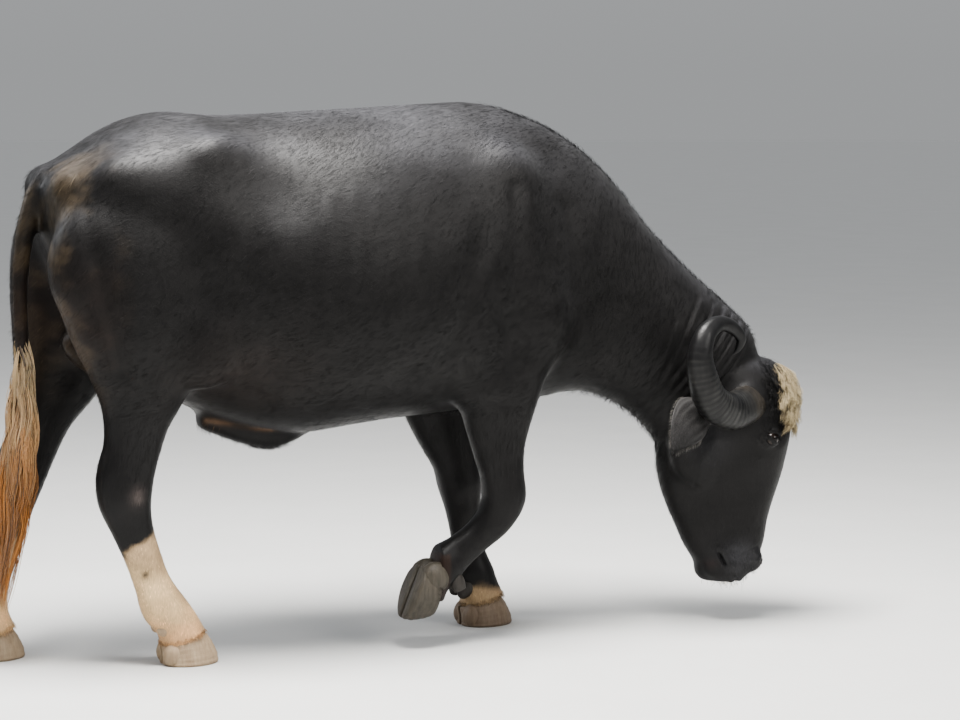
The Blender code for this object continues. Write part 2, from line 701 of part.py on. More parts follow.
def ear_socket(side):
    """What the head gives up for the stalk of an ear, whole across the ear's hollow."""
    line, stalk = ear_line(side)
    count = 24
    rings = []
    for t, half, depth, roll in fair([(r[0], 0, 0, *r) for r in EAR_ROWS[:4]], 2)[:, 3:]:
        centre, along = line(t * (1.0 + stalk) - stalk)
        along = along / np.linalg.norm(along)
        outer = np.array(EAR_BACK[side])
        outer -= along * outer.dot(along)
        outer /= np.linalg.norm(outer)
        across = np.cross(along, outer) * side
        if t == 0.0:
            centre = centre - along * GAP
        ring = []
        for j in range(count):
            a = 2 * math.pi * j / count
            ring.append(centre + across * (half + 2 * GAP) * math.sin(a)
                        + outer * (depth + 2 * GAP) * math.cos(a))
        rings.append(ring)
    points, faces = loft(rings)
    return turned(points), faces


def eye(side, grow=0.0):
    radius = EYE_RADIUS + grow
    points, faces = ball(in_head(side * EYE_DEPTH, *EYE_PLACE), (radius, radius, radius), fineness=2)
    return turned(points), faces


def nostril(side):
    """The hollow of a nostril, which sinks back and up into the muzzle."""
    points, faces = ball(in_head(side * 0.047, 0.098, 0.558), (0.026, 0.011, 0.016), -0.35, side * 0.45, 2)
    return turned(points), faces


# Tail: x, z and share of the root's radius, down to the core that the switch hides
TAIL_ROWS = [
    (-1.060, 1.205, 1.12),
    (-1.105, 1.212, 1.10),
    (-1.142, 1.182, 1.02),
    (-1.172, 1.120, 0.90),
    (-1.196, 1.020, 0.76),
    (-1.203, 0.900, 0.66),
    (-1.201, 0.830, 0.64),
]
# The switch's core, as the tail's rows, from under the tail's end to half way down
CORE_ROWS = [
    (-1.201, 0.830 - GAP, 0.64),
    (-1.198, 0.660, 0.62),
    (-1.212, 0.530, 0.50),
    (-1.226, 0.450, 0.20),
]
# The switch: the line it hangs along and its half thickness there, from its top to its tips
SWITCH_ROWS = [
    (-1.201, 0.829, 0.019),
    (-1.198, 0.700, 0.036),
    (-1.210, 0.560, 0.050),
    (-1.230, 0.410, 0.052),
    (-1.252, 0.270, 0.044),
    (-1.276, 0.105, 0.020),
]
SWITCH_LOCKS = 15
LOCK_WIDTH = 0.042
LOCK_THICKNESS = 0.012


def tail(rows, grow=0.0):
    rows = [(x, 0.0, z, TAIL_RADIUS * share, TAIL_RADIUS * share * 0.9, 2.0) for x, z, share in rows]
    return tube(fair(rows, 2), 12, grow=grow)


def lock(path, outward, width, thickness):
    """A flat, tapered lock of hair: four-sided, widest a third of the way along its path."""
    path = np.asarray(path, float)
    heading = np.gradient(path, axis=0)
    rings = []
    for k, middle in enumerate(path):
        t = k / (len(path) - 1)
        along = heading[k] / np.linalg.norm(heading[k])
        out = np.asarray(outward[k], float)
        out = out - along * out.dot(along)
        out /= np.linalg.norm(out)
        across = np.cross(along, out)
        full = (0.70 + 0.9 * t if t < 0.33 else 1.0 - 0.88 * ((t - 0.33) / 0.67) ** 1.6)
        rings.append([middle + across * 0.5 * width * full, middle + out * 0.5 * thickness * full,
                      middle - across * 0.5 * width * full, middle - out * 0.5 * thickness * full])
    return loft(rings)


def switch_locks():
    """Wavy locks that root in the tail's core and end one below the other, out to the tips."""
    draw = random.Random(SEED)
    line = fair([(x, 0.0, z, half) for x, z, half in SWITCH_ROWS], 8)
    shares = np.linspace(0.0, 1.0, len(line))
    locks = []
    for k in range(SWITCH_LOCKS):
        rank = (k + 0.5) / SWITCH_LOCKS
        start = 0.05 + 0.42 * rank
        end = min(start + draw.uniform(0.38, 0.46) + 0.12 * rank, 1.0)
        angle = k * GOLDEN_ANGLE + draw.uniform(-0.3, 0.3)
        wave = draw.uniform(0.0, 2 * math.pi)
        path, outward = [], []
        for t in np.linspace(0.0, 1.0, 5):
            place = [np.interp(start + (end - start) * t, shares, line[:, axis]) for axis in range(4)]
            away = place[3] * (0.25 + 0.62 * min(t * 2.2, 1.0) - 0.30 * t * t)
            a = angle + 0.30 * math.sin(wave + 5.0 * t) * t
            out = np.array([math.cos(a), math.sin(a), 0.12])
            path.append(np.array(place[:3]) + out * away)
            outward.append(out)
        locks.append(lock(path, outward, LOCK_WIDTH * draw.uniform(0.85, 1.15), LOCK_THICKNESS))
    return locks


# The forehead tuft: rows of locks from the poll down, each row fanned out to both sides. Down
# from the poll, half spread across, how many, and how far the tips stand off the bone
TUFT_ROWS = [
    (0.055, 0.050, 4, 0.016),
    (0.085, 0.064, 5, 0.020),
    (0.115, 0.070, 6, 0.022),
    (0.145, 0.070, 6, 0.020),
    (0.175, 0.062, 5, 0.014),
]
TUFT_LENGTH = 0.082
TUFT_WIDTH = 0.030
TUFT_THICKNESS = 0.013


def tuft_locks(points, faces):
    """Locks that fan down and sideways over the forehead, rooted in the head's own skin."""
    draw = random.Random(SEED + 1)
    skin = BVHTree.FromPolygons([Vector(p) for p in points], faces)

    def on_skin(side, down, off):
        start, ahead = turned([in_head(side, 0.40, down), in_head(side, 0.39, down)])
        hit, normal, _, _ = skin.ray_cast(Vector(start), Vector(ahead - start).normalized())
        return np.array(hit + normal * off), np.array(normal)

    locks = []
    for down, spread, count, stand in TUFT_ROWS:
        for k in range(count):
            share = (k + 0.5) / count * 2.0 - 1.0
            side = share * spread + draw.uniform(-0.004, 0.004)
            top = down + 0.012 * share * share + draw.uniform(-0.005, 0.005)
            fan = 0.85 * share + draw.uniform(-0.12, 0.12)
            length = TUFT_LENGTH * draw.uniform(0.85, 1.10)
            path, outward = [], []
            for t in np.linspace(0.0, 1.0, 5):
                reach = length * t
                off = -0.005 + (stand + 0.005) * math.sin(min(t * 1.9, 1.5))
                place, normal = on_skin(side + math.sin(fan) * reach, top + math.cos(fan) * reach, off)
                path.append(place)
                outward.append(normal)
            locks.append(lock(path, outward, TUFT_WIDTH * draw.uniform(0.85, 1.1), TUFT_THICKNESS))
    return locks


# Feet: the middle of the sole, the way the toes point in the x-z plane, and how far the coronet
# stands off the sole
FEET = {
    "fore_right": ((-0.243, -0.131, 0.148), math.radians(-112.0)),
    "fore_left": ((0.060, 0.123, 0.0), 0.0),
    "hind_right": ((-0.820, -0.107, 0.0), 0.0),
    "hind_left": ((-1.248, 0.134, 0.0), 0.0),
}
CORONET = 0.066
CORONET_SLOPE = math.radians(14.0)
CLEFT = 0.004


def foot_frame(foot):
    middle, tilt = FEET[foot]
    return Matrix.Translation(middle) @ Matrix.Rotation(-tilt, 4, "Y")


def claw(foot, side):
    """One of the two horny claws: an outline that grows from the coronet to a flat sole."""
    levels = (
        (0.0, 1.00, 1.00, 0.000),
        (0.18, 1.01, 1.01, 0.000),
        (0.53, 0.93, 0.95, -0.006),
        (0.82, 0.84, 0.88, -0.014),
        (1.0, 0.78, 0.82, -0.019),
    )
    count = 14
    rings = []
    for height, long, wide, back in levels:
        ring = []
        for j in range(count):
            a = 2 * math.pi * j / count
            c, s = math.cos(a), math.sin(a)
            x = back + long * CLAW_LENGTH * 0.5 * power(c, 2.2) + 0.006 * long * max(c, 0.0)
            narrow = 1.0 - 0.34 * max(c, 0.0) ** 1.5
            outer = 0.056 * wide * narrow
            inner = -0.004 * wide
            y = outer * power(s, 2.4) if s > 0 else inner * power(-s, 2.4)
            y = side * (y + CLEFT + 0.004 * wide)
            ring.append((x, y, height * (CORONET + x * math.tan(CORONET_SLOPE) - GAP)))
        rings.append(ring)
    points, faces = loft(rings)
    frame = foot_frame(foot)
    return np.array([(frame @ Vector(p))[:] for p in points]), faces


def below_coronet(foot):
    """The flesh stops on a sloped plane over the claws; this block takes the rest of it away."""
    frame = foot_frame(foot) @ Matrix.Translation((0.0, 0.0, CORONET))
    frame = frame @ Matrix.Rotation(-CORONET_SLOPE, 4, "Y") @ Matrix.Translation((0.0, 0.0, -0.09))
    return block(frame @ Matrix.Diagonal((0.34, 0.24, 0.18, 1.0)))


def dewclaw(foot, side, grow=0.0):
    rows = []
    for t, radius in ((-0.022, 0.016), (-0.004, 0.020), (0.014, 0.017), (0.026, 0.009)):
        place = Vector((-0.060 - t * 0.75, side * 0.029, 0.100 - t * 0.75))
        place = foot_frame(foot) @ place
        rows.append((*place, radius, radius * 0.8, 2.0))
    return tube(rows, 8, grow=grow)


def slab(middle, normal, across, length, width):
    """A cut: a thin plate of the gap's thickness, square to its normal."""
    normal = Vector(normal).normalized()
    across = Vector(across)
    across = (across - normal * across.dot(normal)).normalized()
    frame = Matrix((normal.cross(across), across, normal)).transposed().to_4x4()
    return block(Matrix.Translation(middle) @ frame @ Matrix.Diagonal((length, width, GAP, 1.0)))


# Cuts that part the flesh: middle, normal, length and width of each plate
CUTS = {
    "neck": ((0.190, 0.0, 0.960), (1.0, 0.0, 0.07), 1.00, 0.90),
    "head": ((0.600, -0.045, 0.690), (0.78, -0.09, -0.63), 0.62, 0.50),
    "fore_right": ((-0.014, -0.150, 0.574), (0.0, 0.0, 1.0), 0.34, 0.24),
    "fore_left": ((-0.026, 0.150, 0.574), (0.0, 0.0, 1.0), 0.34, 0.24),
    "hind_right": ((-0.960, -0.165, 0.655), (0.26, 0.0, 1.0), 0.48, 0.29),
    "hind_left": ((-1.060, 0.165, 0.655), (0.26, 0.0, 1.0), 0.48, 0.29),
    "knee_right": ((0.004, -0.147, 0.366), (-0.30, 0.0, 1.0), 0.20, 0.20),
    "knee_left": ((0.012, 0.133, 0.366), (0.0, 0.0, 1.0), 0.20, 0.20),
    "hock_right": ((-0.978, -0.128, 0.430), (-0.15, 0.0, 1.0), 0.24, 0.20),
    "hock_left": ((-1.186, 0.141, 0.430), (0.20, 0.0, 1.0), 0.24, 0.20),
}


def parted(skin):
    """Cuts the flesh apart and returns the pieces by name, told apart by where they lie."""
    plates = [slab(middle, normal, (0, 1, 0), length, width)
              for middle, normal, length, width in CUTS.values()]
    combine(skin, "DIFFERENCE", plates + [below_coronet(foot) for foot in FEET], keep=False)
    form = bmesh.new()
    form.from_mesh(skin.data)
    groups = islands(form)
    pieces = []
    for group in groups:
        corners = np.array([v.co[:] for face in group for v in face.verts])
        if len(group) > 40:
            pieces.append((corners, [tuple(v.co[:] for v in face.verts) for face in group]))
    form.free()
    named = {}
    for corners, faces in pieces:
        x, y, z = (corners.max(axis=0) + corners.min(axis=0)) / 2
        span = corners.max(axis=0) - corners.min(axis=0)
        sidename = "right" if y < 0 else "left"
        if span[0] > 1.1:
            name = "torso"
        elif x > 0.60 and z < 0.60:
            name = "head"
        elif x > 0.35:
            name = "neck"
        else:
            girdle = "fore" if x > -0.5 else "hind"
            part = "upper" if corners[:, 2].max() > 0.5 else "lower"
            name = f"{girdle}_leg_{sidename}_{part}"
        if name in named:
            continue
        index, points, rings = {}, [], []
        for face in faces:
            ring = []
            for co in face:
                if co not in index:
                    index[co] = len(points)
                    points.append(co)
                ring.append(index[co])
            rings.append(ring)
        named[name] = (np.array(points), rings)
    bpy.data.objects.remove(skin, do_unlink=True)
    return named


def finish(thing, look, smooth_angle=math.radians(50.0)):
    """Gives a node its material, shading and place in the animal's frame."""
    thing.data.transform(Matrix.Translation((ORIGIN_SHIFT, 0.0, 0.0)))
    thing.data.materials.clear()
    thing.data.materials.append(look)
    thing.data.shade_smooth()
    thing.data.set_sharp_from_angle(angle=smooth_angle)
    return thing


def build():
    clear_scene()
    animal = bpy.data.collections.new("water_buffalo")
    bpy.context.scene.collection.children.link(animal)
    looks = {
        "hide": material("hide", HIDE, 0.45),
        "sock": material("sock", SOCK, 0.80),
        "blond": material("blond_hair", BLOND, 0.75),
        "horn": material("horn", HORN, 0.40),
        "hoof": material("hoof", HOOF, 0.55),
        "eye": material("eye", EYE, 0.08),
    }
    for name, (points, faces) in parted(shaped_skin()).items():
        node = make_object(name, points, faces, animal)
        tools = []
        if name == "head":
            for side in (-1, 1):
                tools += [horn(side, GAP), ear_socket(side), eye(side, GAP), nostril(side)]
        elif name == "torso":
            tools.append(tail(TAIL_ROWS, GAP))
        elif name.endswith("_lower"):
            foot = name.replace("_leg", "").replace("_lower", "")
            tools += [dewclaw(foot, side, GAP) for side in (-1, 1)]
        if tools:
            combine(node, "DIFFERENCE", tools)
        if name == "head":
            combine(node, "UNION", tuft_locks(points, faces))
        white = name.startswith("hind") and name.endswith("lower")
        finish(node, looks["sock" if white else "hide"])
    for side, word in ((-1, "right"), (1, "left")):
        finish(make_object(f"horn_{word}", *horn(side), animal), looks["horn"])
        finish(make_object(f"ear_{word}", *ear(side), animal), looks["hide"])
        finish(make_object(f"eye_{word}", *eye(side), animal), looks["eye"])
    finish(make_object("tail", *tail(TAIL_ROWS), animal), looks["hide"])
    switch = make_object("tail_switch", *tail(CORE_ROWS), animal)
    finish(combine(switch, "UNION", switch_locks()), looks["blond"])
    for foot in FEET:
        for side, word in ((-1, "right"), (1, "left")):
            finish(make_object(f"claw_{foot}_{word}", *claw(foot, side), animal), looks["hoof"])
            finish(make_object(f"dewclaw_{foot}_{word}", *dewclaw(foot, side), animal), looks["horn"])


build()
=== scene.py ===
# A water buffalo that grazes in mid-step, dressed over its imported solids: one skin, horns, ears,
# eyes, hooves, coat, forehead tuft and tail switch, in a plain studio.
import json
import math

import bmesh
import bpy
import numpy as np
from mathutils import Matrix, Vector, noise
from mathutils.bvhtree import BVHTree

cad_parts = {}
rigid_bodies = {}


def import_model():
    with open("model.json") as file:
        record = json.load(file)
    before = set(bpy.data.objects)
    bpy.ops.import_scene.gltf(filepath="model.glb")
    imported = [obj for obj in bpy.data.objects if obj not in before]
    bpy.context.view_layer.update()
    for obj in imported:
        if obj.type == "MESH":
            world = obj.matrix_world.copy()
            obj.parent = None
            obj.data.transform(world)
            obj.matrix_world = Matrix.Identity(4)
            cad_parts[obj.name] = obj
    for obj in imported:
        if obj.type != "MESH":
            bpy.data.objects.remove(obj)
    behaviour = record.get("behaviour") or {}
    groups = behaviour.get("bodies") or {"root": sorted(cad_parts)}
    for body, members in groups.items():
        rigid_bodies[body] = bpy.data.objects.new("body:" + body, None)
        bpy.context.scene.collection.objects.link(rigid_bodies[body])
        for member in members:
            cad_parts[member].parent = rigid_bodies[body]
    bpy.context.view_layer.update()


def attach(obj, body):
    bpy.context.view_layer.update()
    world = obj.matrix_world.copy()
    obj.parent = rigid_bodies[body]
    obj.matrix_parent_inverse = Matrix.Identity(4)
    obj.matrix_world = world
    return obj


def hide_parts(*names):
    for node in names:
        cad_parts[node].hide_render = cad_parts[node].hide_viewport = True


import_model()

# the withers stand over x = 0 while the animal is shaped; this moves it to the frame's origin
originShift = 0.226
gap = 0.0003


photoView = {
    "turn": math.radians(22.0),     # behind the animal's right side
    "tilt": math.radians(5.42),
    "distance": 8.0,
    "height": 1.47,
    "lens": 117.0,
    "sensor": 36.0,
}


def makeCamera(look):
    camera = bpy.data.cameras.new("photoCamera")
    camera.lens = look["lens"]
    camera.sensor_width = look["sensor"]
    camera.clip_end = 60.0
    holder = bpy.data.objects.new("photoCamera", camera)
    bpy.context.scene.collection.objects.link(holder)
    turn, tilt = look["turn"], look["tilt"]
    holder.location = (originShift - math.sin(turn) * look["distance"],
                       -math.cos(turn) * look["distance"], look["height"])
    ahead = Vector((math.sin(turn) * math.cos(tilt), math.cos(turn) * math.cos(tilt), -math.sin(tilt)))
    holder.rotation_euler = ahead.to_track_quat("-Z", "Y").to_euler()
    bpy.context.scene.camera = holder


# form tools

def fairRows(rows, steps):
    # a smooth curve through the rows of a table, read at so many steps to each span
    rows = np.asarray(rows, float)
    spans = np.linalg.norm(np.diff(rows[:, :3], axis=0), axis=1)
    at = np.concatenate([[0.0], np.cumsum(np.maximum(spans, 1e-4))])
    slopes = np.gradient(rows, at, axis=0)
    out = []
    for k in range(len(rows) - 1):
        width = at[k + 1] - at[k]
        for j in range(steps):
            t = j / steps
            a, b = 2 * t**3 - 3 * t**2 + 1, t**3 - 2 * t**2 + t
            c, d = -2 * t**3 + 3 * t**2, t**3 - t**2
            out.append(a * rows[k] + b * width * slopes[k] + c * rows[k + 1] + d * width * slopes[k + 1])
    out.append(rows[-1])
    return np.array(out)


def rounded(value, squareness):
    return math.copysign(abs(value) ** (2.0 / squareness), value)


def loftRings(rings, crescent=False):
    # closed skin over rings of equal count; crescent ends are strips, others meet in a point
    rings = [np.asarray(r, float) for r in rings]
    count = len(rings[0])
    points = [p for ring in rings for p in ring]
    faces = []
    for k in range(len(rings) - 1):
        for j in range(count):
            n = (j + 1) % count
            faces.append((k * count + j, k * count + n, (k + 1) * count + n, (k + 1) * count + j))
    base = (len(rings) - 1) * count
    if crescent:
        for j in range(count // 2 - 1):
            a, b, c, d = j, j + 1, count - 2 - j, count - 1 - j
            faces += [(a, d, c, b), (base + a, base + b, base + c, base + d)]
        return np.array(points), faces
    points += [rings[0].mean(axis=0), rings[-1].mean(axis=0)]
    first, last = len(points) - 2, len(points) - 1
    for j in range(count):
        n = (j + 1) % count
        faces.append((first, n, j))
        faces.append((last, base + j, base + n))
    return np.array(points), faces


def tubeForm(rows, count=24, level=(0.0, 1.0, 0.0)):
    # rows of x, y, z, half depth, half width, squareness
    rows = np.asarray(rows, float)
    heading = np.gradient(rows[:, :3], axis=0)
    rings = []
    for k, row in enumerate(rows):
        along = heading[k] / np.linalg.norm(heading[k])
        side = np.asarray(level, float)
        side = side - along * side.dot(along)
        side /= np.linalg.norm(side)
        fore = np.cross(side, along)
        angles = [2 * math.pi * j / count for j in range(count)]
        rings.append([row[:3] + fore * row[3] * rounded(math.sin(a), row[5])
                      + side * row[4] * rounded(math.cos(a), row[5]) for a in angles])
    return loftRings(rings)


def ballForm(centre, radii, pitch=0.0, yaw=0.0, fineness=3):
    form = bmesh.new()
    bmesh.ops.create_icosphere(form, subdivisions=fineness, radius=1.0)
    turn = Matrix.Rotation(yaw, 4, "Z") @ Matrix.Rotation(pitch, 4, "Y") @ Matrix.Diagonal((*radii, 1.0))
    form.transform(Matrix.Translation(centre) @ turn)
    points = np.array([v.co[:] for v in form.verts])
    faces = [tuple(v.index for v in f.verts) for f in form.faces]
    form.free()
    return points, faces


def joinForms(forms):
    points, faces, base = [], [], 0
    for some, rings in forms:
        points.append(some)
        faces += [tuple(i + base for i in face) for face in rings]
        base += len(some)
    return np.concatenate(points), faces


def newPiece(name, points, faces, smooth=True):
    mesh = bpy.data.meshes.new(name)
    mesh.from_pydata([tuple(p) for p in points], [], [tuple(int(i) for i in f) for f in faces])
    form = bmesh.new()
    form.from_mesh(mesh)
    bmesh.ops.recalc_face_normals(form, faces=form.faces)
    if form.calc_volume(signed=True) < 0:
        bmesh.ops.reverse_faces(form, faces=form.faces)
    form.to_mesh(mesh)
    form.free()
    if smooth:
        mesh.shade_smooth()
    piece = bpy.data.objects.new(name, mesh)
    bpy.context.scene.collection.objects.link(piece)
    return piece


def applyModifiers(piece):
    graph = bpy.context.evaluated_depsgraph_get()
    fresh = bpy.data.meshes.new_from_object(piece.evaluated_get(graph))
    old = piece.data
    piece.modifiers.clear()
    piece.data = fresh
    bpy.data.meshes.remove(old)


def readMesh(mesh):
    points = np.empty(len(mesh.vertices) * 3)
    mesh.vertices.foreach_get("co", points)
    edges = np.empty(len(mesh.edges) * 2, dtype=np.int64)
    mesh.edges.foreach_get("vertices", edges)
    return points.reshape(-1, 3), edges.reshape(-1, 2)


def writePoints(mesh, points):
    mesh.vertices.foreach_set("co", np.asarray(points, float).ravel())
    mesh.update()


def normalsOf(mesh):
    out = np.empty(len(mesh.vertices) * 3)
    mesh.vertices.foreach_get("normal", out)
    return out.reshape(-1, 3)


def meshTree(mesh):
    points, _ = readMesh(mesh)
    return BVHTree.FromPolygons([Vector(p) for p in points], [tuple(f.vertices) for f in mesh.polygons])


def smoothPoints(points, edges, rounds, weight, giveBack=0.36):
    # what a round shrinks is given back in the next, unless giveBack is 0
    count = len(points)
    degree = np.bincount(edges.ravel(), minlength=count).astype(float)[:, None]
    for k in range(rounds):
        total = np.zeros_like(points)
        for axis in range(3):
            total[:, axis] = (np.bincount(edges[:, 0], points[edges[:, 1], axis], count)
                              + np.bincount(edges[:, 1], points[edges[:, 0], axis], count))
        step = 0.62 if k % 2 == 0 or giveBack == 0.0 else -giveBack
        points = points + weight * step * (total / degree - points)
    return points


def smoothStep(low, high, value):
    t = np.clip((value - low) / (high - low), 0.0, 1.0)
    return t * t * (3.0 - 2.0 * t)


def pathDistance(points, path, widths=None):
    # distance to a path, and the path's own width at the nearest place
    best = np.full(len(points), 1e9)
    wide = np.ones(len(points))
    path = np.asarray(path, float)
    for k in range(len(path) - 1):
        a, b = path[k], path[k + 1]
        along = b - a
        t = np.clip(((points - a) @ along) / (along @ along), 0.0, 1.0)
        away = np.linalg.norm(points - (a + t[:, None] * along), axis=1)
        nearer = away < best
        best = np.where(nearer, away, best)
        if widths is not None:
            wide = np.where(nearer, widths[k] + (widths[k + 1] - widths[k]) * t, wide)
    return best, wide


def stroke(points, normals, path, width, height):
    # a rounded ridge, or a groove for a negative height, along a path near the skin
    path = np.asarray(path, float)
    reach = 3.0 * width
    near = np.all((points > path.min(axis=0) - reach) & (points < path.max(axis=0) + reach), axis=1)
    away, _ = pathDistance(points[near], path)
    lift = height * np.exp(-(away / width) ** 2)
    points[near] += normals[near] * lift[:, None]


def swell(points, normals, centre, reach, height):
    away = (points - np.asarray(centre)) / np.asarray(reach)
    points += normals * (height * np.exp(-(away**2).sum(axis=1)))[:, None]


# how the head turns to the animal's right
headTurn = {"angle": math.radians(7.0), "start": 0.20, "end": 0.55}


def turned(points):
    out = np.array(points, float)
    t = smoothStep(headTurn["start"], headTurn["end"], out[:, 0])
    angle = headTurn["angle"] * t
    x, y = out[:, 0] - headTurn["start"], out[:, 1].copy()
    out[:, 0] = headTurn["start"] + x * np.cos(angle) + y * np.sin(angle)
    out[:, 1] = y * np.cos(angle) - x * np.sin(angle)
    return out


headAxisX = 0.676
pollZ = 0.705


def inHead(side, front, down):
    # out to the animal's left, out of the forehead, and down from the poll
    return np.array([headAxisX + front, side, pollZ - down])


# body forms, as the solids have them
body = {
    "withers": 1.378,
    "barrelHalf": 0.352,
    # top x, z, bottom x, z, half width share, height of widest line, squareness above and below
    "trunk": [
        (-1.160, 1.180, -1.150, 1.06, 0.22, 0.62, 2.0, 2.0),
        (-1.125, 1.222, -1.120, 0.98, 0.46, 0.66, 2.2, 2.0),
        (-1.060, 1.266, -1.060, 0.88, 0.62, 0.70, 2.3, 2.0),
        (-0.960, 1.328, -0.960, 0.76, 0.72, 0.70, 2.2, 2.1),
        (-0.850, 1.357, -0.850, 0.66, 0.79, 0.66, 2.1, 2.2),
        (-0.740, 1.347, -0.740, 0.600, 0.86, 0.58, 2.1, 2.2),
        (-0.620, 1.348, -0.620, 0.560, 0.94, 0.50, 2.1, 2.2),
        (-0.500, 1.355, -0.500, 0.548, 1.00, 0.46, 2.0, 2.2),
        (-0.380, 1.360, -0.380, 0.562, 1.00, 0.45, 2.0, 2.2),
        (-0.260, 1.367, -0.260, 0.574, 0.95, 0.45, 1.9, 2.2),
        (-0.140, 1.374, -0.140, 0.580, 0.87, 0.45, 1.85, 2.1),
        (-0.020, 1.378, -0.020, 0.590, 0.78, 0.46, 1.8, 2.0),
        (0.080, 1.352, 0.075, 0.602, 0.69, 0.47, 1.75, 2.0),
        (0.170, 1.320, 0.140, 0.610, 0.61, 0.47, 1.7, 2.0),
        (0.280, 1.252, 0.215, 0.618, 0.52, 0.48, 1.8, 2.0),
        (0.370, 1.165, 0.280, 0.620, 0.455, 0.48, 1.9, 2.0),
        (0.460, 1.050, 0.342, 0.604, 0.405, 0.48, 2.0, 2.0),
        (0.575, 0.930, 0.398, 0.574, 0.355, 0.48, 2.0, 2.0),
        (0.680, 0.838, 0.448, 0.532, 0.320, 0.50, 2.1, 2.0),
        (0.745, 0.772, 0.492, 0.482, 0.290, 0.52, 2.1, 2.0),
        (0.770, 0.700, 0.556, 0.460, 0.200, 0.55, 2.1, 2.0),
    ],
    # down from the poll, front, back, half width, widest line, squareness front and back
    "skull": [
        (0.000, 0.070, -0.050, 0.064, 0.010, 2.2, 2.0),
        (0.030, 0.116, -0.085, 0.094, 0.020, 2.2, 2.0),
        (0.080, 0.152, -0.110, 0.112, 0.030, 2.3, 2.0),
        (0.140, 0.172, -0.150, 0.120, 0.050, 2.4, 2.0),
        (0.200, 0.174, -0.176, 0.120, 0.060, 2.6, 2.0),
        (0.260, 0.166, -0.188, 0.106, 0.050, 2.6, 2.0),
        (0.320, 0.152, -0.184, 0.091, 0.035, 2.6, 2.1),
        (0.380, 0.134, -0.165, 0.080, 0.022, 2.6, 2.2),
        (0.440, 0.118, -0.138, 0.073, 0.012, 2.5, 2.3),
        (0.500, 0.108, -0.110, 0.071, 0.005, 2.5, 2.4),
        (0.550, 0.084, -0.078, 0.072, 0.000, 2.5, 2.4),
        (0.585, 0.064, -0.062, 0.063, 0.000, 2.3, 2.3),
        (0.600, 0.044, -0.044, 0.046, 0.000, 2.1, 2.1),
    ],
    "voxel": 0.0069,
    # point of the hip bone and top of the shoulder blade, where the skin is drawn smooth
    "softBones": ((-0.765, 0.240, 1.240), (-0.010, 0.190, 1.240), (0.000, 0.230, 1.130)),
    "softReach": 0.130,
}

